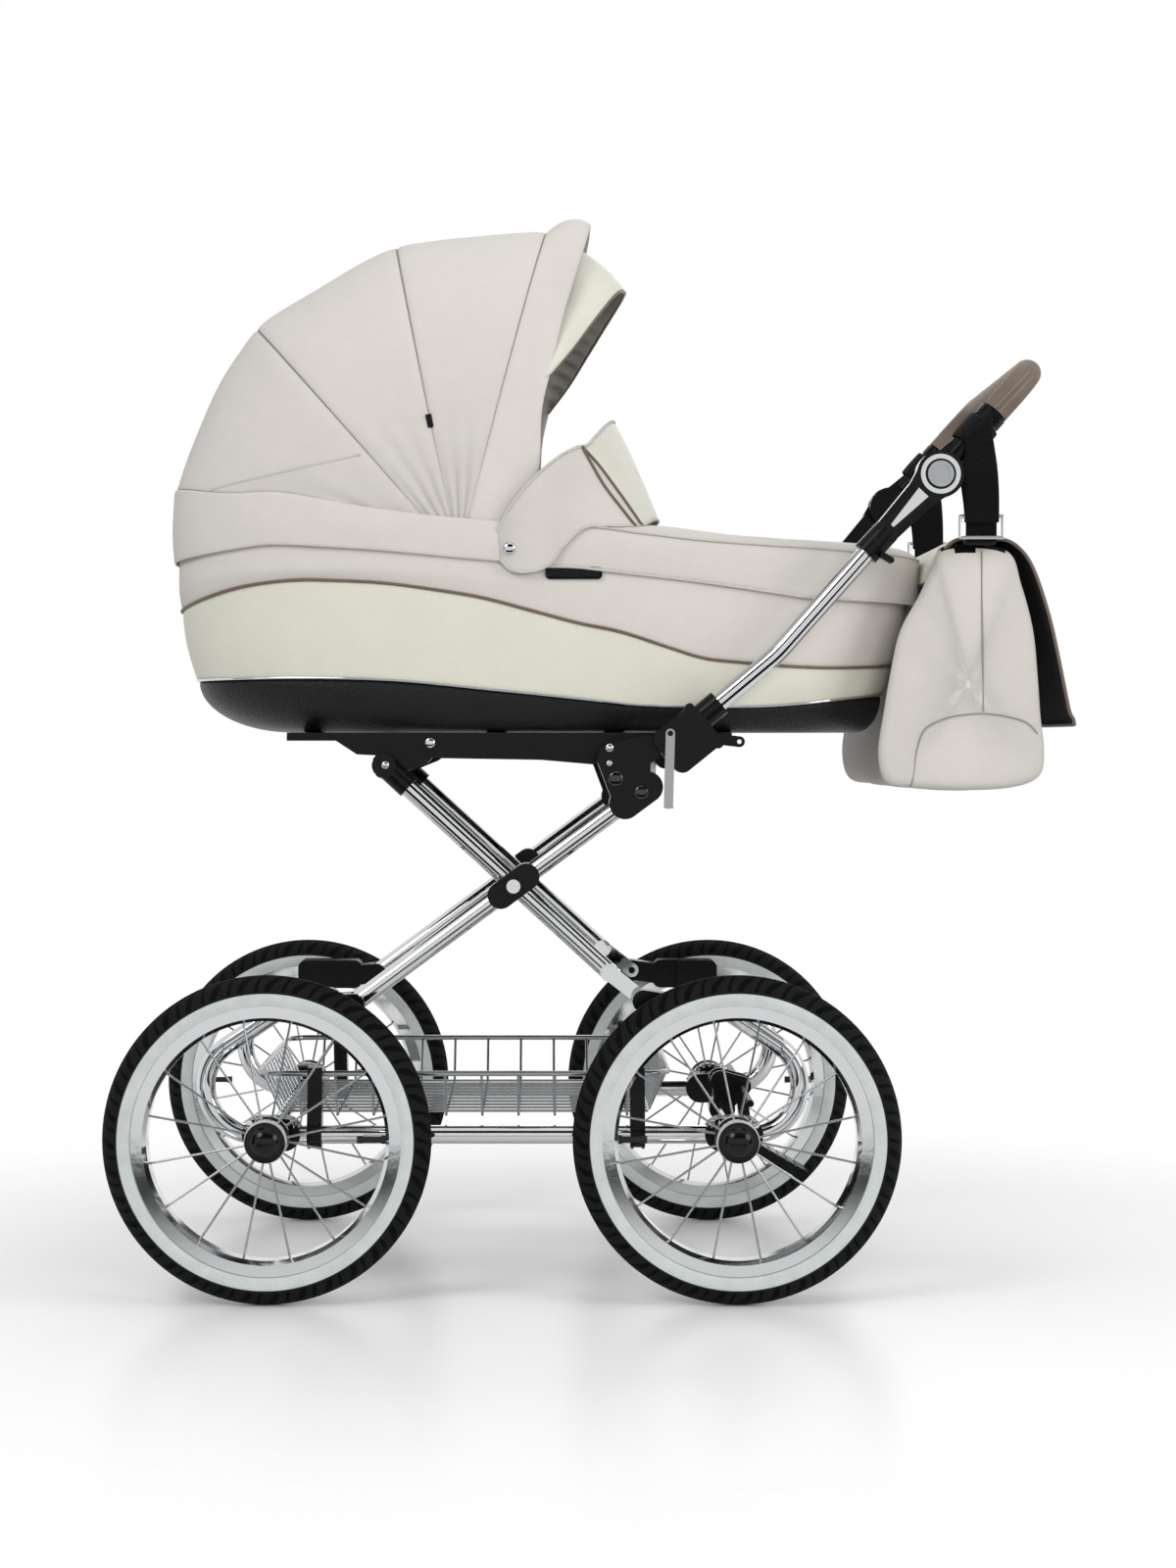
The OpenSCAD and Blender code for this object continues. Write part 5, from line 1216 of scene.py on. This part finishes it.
def bagFlapPoint(points, off, hang):
    def place(u, v):
        q = 2 * v - 1
        x, z = flapCurve(points, u, off)
        swell = 3 * (1 - q * q) * smoothStep(0.3, 0.5, u) * hang
        wave = sway((x, q * 180, z), 90, 3.0, 51) * smoothStep(0.45, 1, u) * hang
        narrow = lerp(1, 0.985, smoothStep(0.7, 0.9, u) * hang)
        return x + swell + wave, q * (bag["half"] - 3) * narrow, z

    return place


def flapLayers(name, points, body, hang, long, free):
    outer = gridMesh(long, 40, bagFlapPoint(points, 3.2, hang), (0.27, 0.38), flip=True)
    cloth = finishPiece(name, outer, creamHide, body, 1.6)
    inner = gridMesh(long, 40, bagFlapPoint(points, 1.3, hang), (0.27, 0.38), flip=True)
    lining = finishPiece(name + "Lining", inner, darkLining, body, 1.0)
    rim = bagFlapPoint(points, 2.3, hang)
    away = [abs(free - 0.995 * (1 - i / 50)) for i in range(51)]
    edge = [rim(t, 0.001) for t in away]
    edge += [rim(away[-1], i / 40) for i in range(1, 40)]
    edge += [rim(t, 0.999) for t in reversed(away)]
    cord = pipe(name + "Piping", edge, 1.9, brownPiping, body)
    return cloth


flapCloth = flapLayers("bagFlap", bag["flap"], "flap", 1, 40, 1)
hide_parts("bag_flap")
flapLayers("bagFold", bag["fold"], "bag", 0, 12, 0)
print("bag flap done")


# Webbing: sleeves round the handle's arms, straps down to the rings and tabs to the bag
strap = {
    "joint": (370, 886), "slope": math.radians(48.4), "y": 213, "sleeve": (43, 75), "sleeveRadius": 16.6,
    "hang": (411.2, 932.4), "width": 37, "radius": 18.4, "ring": (417, 842), "thick": 2.2,
}


def sleevePoint(side):
    along3 = Vector((math.cos(strap["slope"]), 0, math.sin(strap["slope"])))
    across = Vector((-math.sin(strap["slope"]), 0, math.cos(strap["slope"])))

    def place(u, v):
        turn = 2 * math.pi * u
        r = strap["sleeveRadius"] + 0.25 * math.sin(turn * 2) + 0.5 * math.sin(math.pi * v)
        spot = along3 * lerp(*strap["sleeve"], v) + across * (r * math.cos(turn))
        spot.y += r * math.sin(turn)
        return strap["joint"][0] + spot.x, side * strap["y"] + spot.y, strap["joint"][1] + spot.z

    return place


def strapPoint(side):
    r = strap["radius"]
    loop = [(3.4, 835), (3.9, 841), (6, 851), (12, 868), (r - 0.8, 890), (r, 915)]
    for k in range(13):
        a = math.radians(15 * k)
        loop.append((r * math.cos(a), strap["hang"][1] + r * math.sin(a)))
    loop += [(-y, z) for y, z in loop[5::-1]]

    def place(u, v):
        spot = through([(0, y, z) for y, z in loop], u)
        top = smoothStep(880, 925, spot.z)
        low = 1 - smoothStep(840, 925, spot.z)
        tilt = strap["slope"] * 0.8 * top
        half = (v - 0.5) * strap["width"]
        x = lerp(strap["hang"][0], strap["ring"][0], low) + half * math.cos(tilt)
        z = spot.z + half * math.sin(tilt) * top + sway((half, spot.y, spot.z), 40, 0.5, 61)
        y = side * strap["y"] + spot.y + sway((half, spot.y, spot.z), 45, 0.8, 63) * (1 - top)
        return x, y, z

    return place


def tabPoint(side):
    run = [(210.4, 839), (209.8, 829), (209.6, 820), (207.5, 814), (199, 812.6), (192, 814), (186, 815)]

    def place(u, v):
        spot = through([(0, y, z) for y, z in run], u)
        return strap["ring"][0] + (v - 0.5) * strap["width"] * 0.92, side * spot.y, spot.z

    return place


for side, word in bothSides:
    sleeveMesh = gridMesh(32, 10, sleevePoint(side), (0.11, 0.036), True)
    sleeve = finishPiece("strapSleeve" + word, sleeveMesh, webbing, "handle", 1.8)
    bandMesh = gridMesh(72, 8, strapPoint(side), (0.22, 0.038))
    band = finishPiece("bagStrap" + word, bandMesh, webbing, "bag", strap["thick"], offset=0)
    tabMesh = gridMesh(20, 8, tabPoint(side), (0.04, 0.036))
    tab = finishPiece("bagTab" + word, tabMesh, webbing, "bag", strap["thick"], offset=0)
    if side < 0:
        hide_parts("strap_sleeves")
        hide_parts("bag_straps")
print("webbing done")


# Sewn lines on the hood and wind flap
sewn = {
    "hem": [(-256, 911), (-296, 903), (-335, 895), (-372, 887.5), (-407, 880.5), (-424, 876.5)],
    "flapCorner": [(-15.3, 919), (2.9, 899.7), (19.8, 877.9), (36.7, 854.9), (51.2, 834.4)],
    "flapCornerSecond": [(-14.1, 916.6), (-3.2, 897.2), (10, 875.5), (27, 853.7), (43.9, 833)],
    # The second hem run is a thin dark brown cord under the hem bead that stands in for its shadow: painted
    # shadow
    "hemRuns": [("hoodHem", 0.0, 1.0, 2.0, greyCloth), ("hoodHemPiping", -3.4, 0.3, 1.2, brownPiping)],
    "tab": (-190, 946), "tabSize": (6.5, 3.0, 15),
}


def surfaceSpot(place, x, z, uRange, vRange=(0.0, 1.0)):  # nearest point of a surface to x, z in side view
    (u0, u1), (v0, v1) = uRange, vRange
    best = None
    for _ in range(4):
        for i in range(25):
            for j in range(25):
                u, v = lerp(u0, u1, i / 24), lerp(v0, v1, j / 24)
                p = place(u, v)
                miss = (p[0] - x) ** 2 + (p[2] - z) ** 2
                if best is None or miss < best[0]:
                    best = (miss, u, v, p)
        du, dv = (u1 - u0) / 12, (v1 - v0) / 12
        u0, u1 = max(best[1] - du, uRange[0]), min(best[1] + du, uRange[1])
        v0, v1 = max(best[2] - dv, vRange[0]), min(best[2] + dv, vRange[1])
    return Vector(best[3])


def surfaceLine(place, table, count, uRange, vRange=(0.0, 1.0)):
    line = []
    for i in range(count + 1):
        aim = through([(x, 0, z) for x, z in table], i / count)
        line.append(surfaceSpot(place, aim.x, aim.z, uRange, vRange))
    return line


hemLine = surfaceLine(rearPoint, sewn["hem"], 26, (0.0, 0.5))
for side, word in bothSides:
    for label, drop, out, radius, cloth in sewn["hemRuns"]:
        run = [(p.x - 0.3 * out, -side * (p.y - out), p.z + drop) for p in hemLine]
        # The second run is the painted shadow line under the hem bead
        bead = pipe(label + word, run, radius, cloth, None)
        crown(0)
        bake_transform(bead)

seamSpot = surfaceSpot(panelPoint(0), *sewn["tab"], (0.0, 0.5), (0.99, 1.0))
seamNext = surfaceSpot(panelPoint(0), sewn["tab"][0] - 2.4, sewn["tab"][1] + 12, (0.0, 0.5), (0.99, 1.0))
lean = math.atan2(seamNext.x - seamSpot.x, seamNext.z - seamSpot.z)
for side, word in bothSides:
    bm = bmesh.new()
    bmesh.ops.create_cube(bm, size=1)
    bmesh.ops.scale(bm, vec=[s / 1000 for s in sewn["tabSize"]], verts=bm.verts)
    bmesh.ops.bevel(bm, geom=bm.edges, offset=0.0007, segments=2, profile=0.5, affect="EDGES", material=-1)
    spot = Vector((seamSpot.x, -side * (seamSpot.y - 3.0), seamSpot.z)) / 1000
    bmesh.ops.transform(bm, matrix=Matrix.Translation(spot) @ Matrix.Rotation(lean, 4, "Y"), verts=bm.verts)
    tab = finishPiece("hoodTab" + word, bm, blackPlastic, "middle_bow", rounds=0, smooth=False)

for label in ("flapCorner", "flapCornerSecond"):
    line = surfaceLine(flapPoint(3.2), sewn[label], 22, (0.12, 0.5))
    for side, word in bothSides:
        run = [(p.x + 0.3, -side * p.y, p.z + 0.3) for p in line]
        bead = pipe(label + word, run, 1.6, brownPiping, "cot")
print("sewn lines done")


# Snaps, carry slots, bolts, screws and the stitches on the grip
fittings = {
    "snap": (-94, 807.8, 6.9, 3.6), "slot": (-24, 781.5, 62, 13.5), "slotLift": 3.6,
    "bolts": [(21.1, 558.0, 8.6), (48.5, 543.3, 8.0)], "screws": [(14.3, 591.5, 4.4), (14.1, 574.8, 3.3)],
    # Name, node, body, x, z, radius and height of the screw heads seen on the frame
    "heads": [("legEndScrew", "leg_ends", "inner_frame", -229.2, 572.5, 4.4, 2.2),
              ("platformBolt", "platform", "deck", -181.4, 596.8, 5.8, 2.4),
              ("legScrew", "inner_legs", "inner_frame", 17.0, 347.5, 5.8, 2.6)],
    "stitch": ((427.5, 951.5), (468.5, 994.0)), "stitches": 20, "stitchGap": 2.6,
}
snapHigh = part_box("snaps")[1][1] * 1000
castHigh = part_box("rear_castings")[1][1] * 1000


def domeMesh(x, y, z, r, h):
    bm = bmesh.new()
    bmesh.ops.create_uvsphere(bm, u_segments=32, v_segments=16, radius=1)
    bmesh.ops.scale(bm, vec=(r / 1000, h / 1000, r / 1000), verts=bm.verts)
    bmesh.ops.translate(bm, vec=(x / 1000, y / 1000, z / 1000), verts=bm.verts)
    return bm


for side, word in bothSides:
    x, z, r, h = fittings["snap"]
    snapMesh = domeMesh(x, side * (snapHigh - h + 0.6), z, r, h)
    dome = finishPiece("snapDome" + word, snapMesh, chrome, "cot", rounds=0)
    if side < 0:
        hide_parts("snaps")
    x, z, long, high = fittings["slot"]
    bm = bmesh.new()
    bmesh.ops.create_cube(bm, size=1)
    bmesh.ops.scale(bm, vec=(long / 1000, 0.006, high / 1000), verts=bm.verts)
    ends = [e for e in bm.edges if abs(e.verts[0].co.y - e.verts[1].co.y) > 0.001]
    bmesh.ops.bevel(bm, geom=ends, offset=0.005, segments=5, profile=0.5, affect="EDGES", material=-1)
    front = [f for f in bm.faces if f.normal.y * side > 0.9]
    bmesh.ops.inset_region(bm, faces=front, thickness=0.0028, use_even_offset=True)
    bmesh.ops.translate(bm, vec=(0, -side * 0.0022, 0), verts=list({v for f in front for v in f.verts}))
    y = side * (cot["halfWidth"] + fittings["slotLift"] - 3)
    bmesh.ops.translate(bm, vec=(x / 1000, y / 1000, z / 1000), verts=bm.verts)
    slot = finishPiece("carrySlot" + word, bm, blackPlastic, "cot", rounds=0, smooth=False)
    for k, (x, z, r) in enumerate(fittings["bolts"]):
        boltMesh = domeMesh(x, side * castHigh, z, r, 3.2)
        bolt = finishPiece(f"castingBolt{word}{k + 1}", boltMesh, glossBlack, "outer_frame", rounds=0)
    for k, (x, z, r) in enumerate(fittings["screws"]):
        screwMesh = domeMesh(x, side * castHigh, z, r, 1.8)
        screw = finishPiece(f"castingScrew{word}{k + 1}", screwMesh, chrome, "outer_frame", rounds=0)


def solidSurface(node, x, z, side):  # outer point of a solid at x, z, seen from one side
    solid = nodes[node]
    turn = solid.matrix_world.inverted()
    start = turn @ Vector((x / 1000, side * 0.6, z / 1000))
    way = turn.to_3x3() @ Vector((0, -side, 0))
    hit, spot, _, _ = solid.ray_cast(start, way)
    return (solid.matrix_world @ spot) * 1000 if hit else None


def gripSurface(x, z, side):
    return solidSurface("handle_grip", x, z, side)


for side, word in bothSides:
    for label, node, body, x, z, r, h in fittings["heads"]:
        spot = solidSurface(node, x, z, side)
        head = finishPiece(label + word, domeMesh(x, spot.y, z, r, h), chrome, body, rounds=0)


for side, word in bothSides:
    bm = bmesh.new()
    (x0, z0), (x1, z1) = fittings["stitch"]
    way = Vector((x1 - x0, z1 - z0)).normalized()
    seam = []
    for i in range(fittings["stitches"] + 1):
        t = i / fittings["stitches"]
        x, z = lerp(x0, x1, t), lerp(z0, z1, t)
        spot = gripSurface(x, z, side)
        if spot:
            seam.append((x, spot.y + side * 0.1, z))
        for flank in (-1, 1):
            tail = Vector((x, z)) + Vector((-way.y, way.x)) * flank * fittings["stitchGap"]
            tip = tail + way * 1.5 + Vector((-way.y, way.x)) * flank * 1.3
            a, b = gripSurface(*tail, side), gripSurface(*tip, side)
            if a and b:
                part = cordMesh([(a.x, a.y + side * 0.2, a.z), (b.x, b.y + side * 0.2, b.z)], 0.42, sides=1)
                mesh = meshFrom("stitch", part)
                bm.from_mesh(mesh)
                bpy.data.meshes.remove(mesh)
    thread = finishPiece("gripStitches" + word, bm, stitchThread, "handle", rounds=0)
    groove = pipe("gripSeam" + word, seam, 0.5, brownPiping, "handle")
print("fittings done")
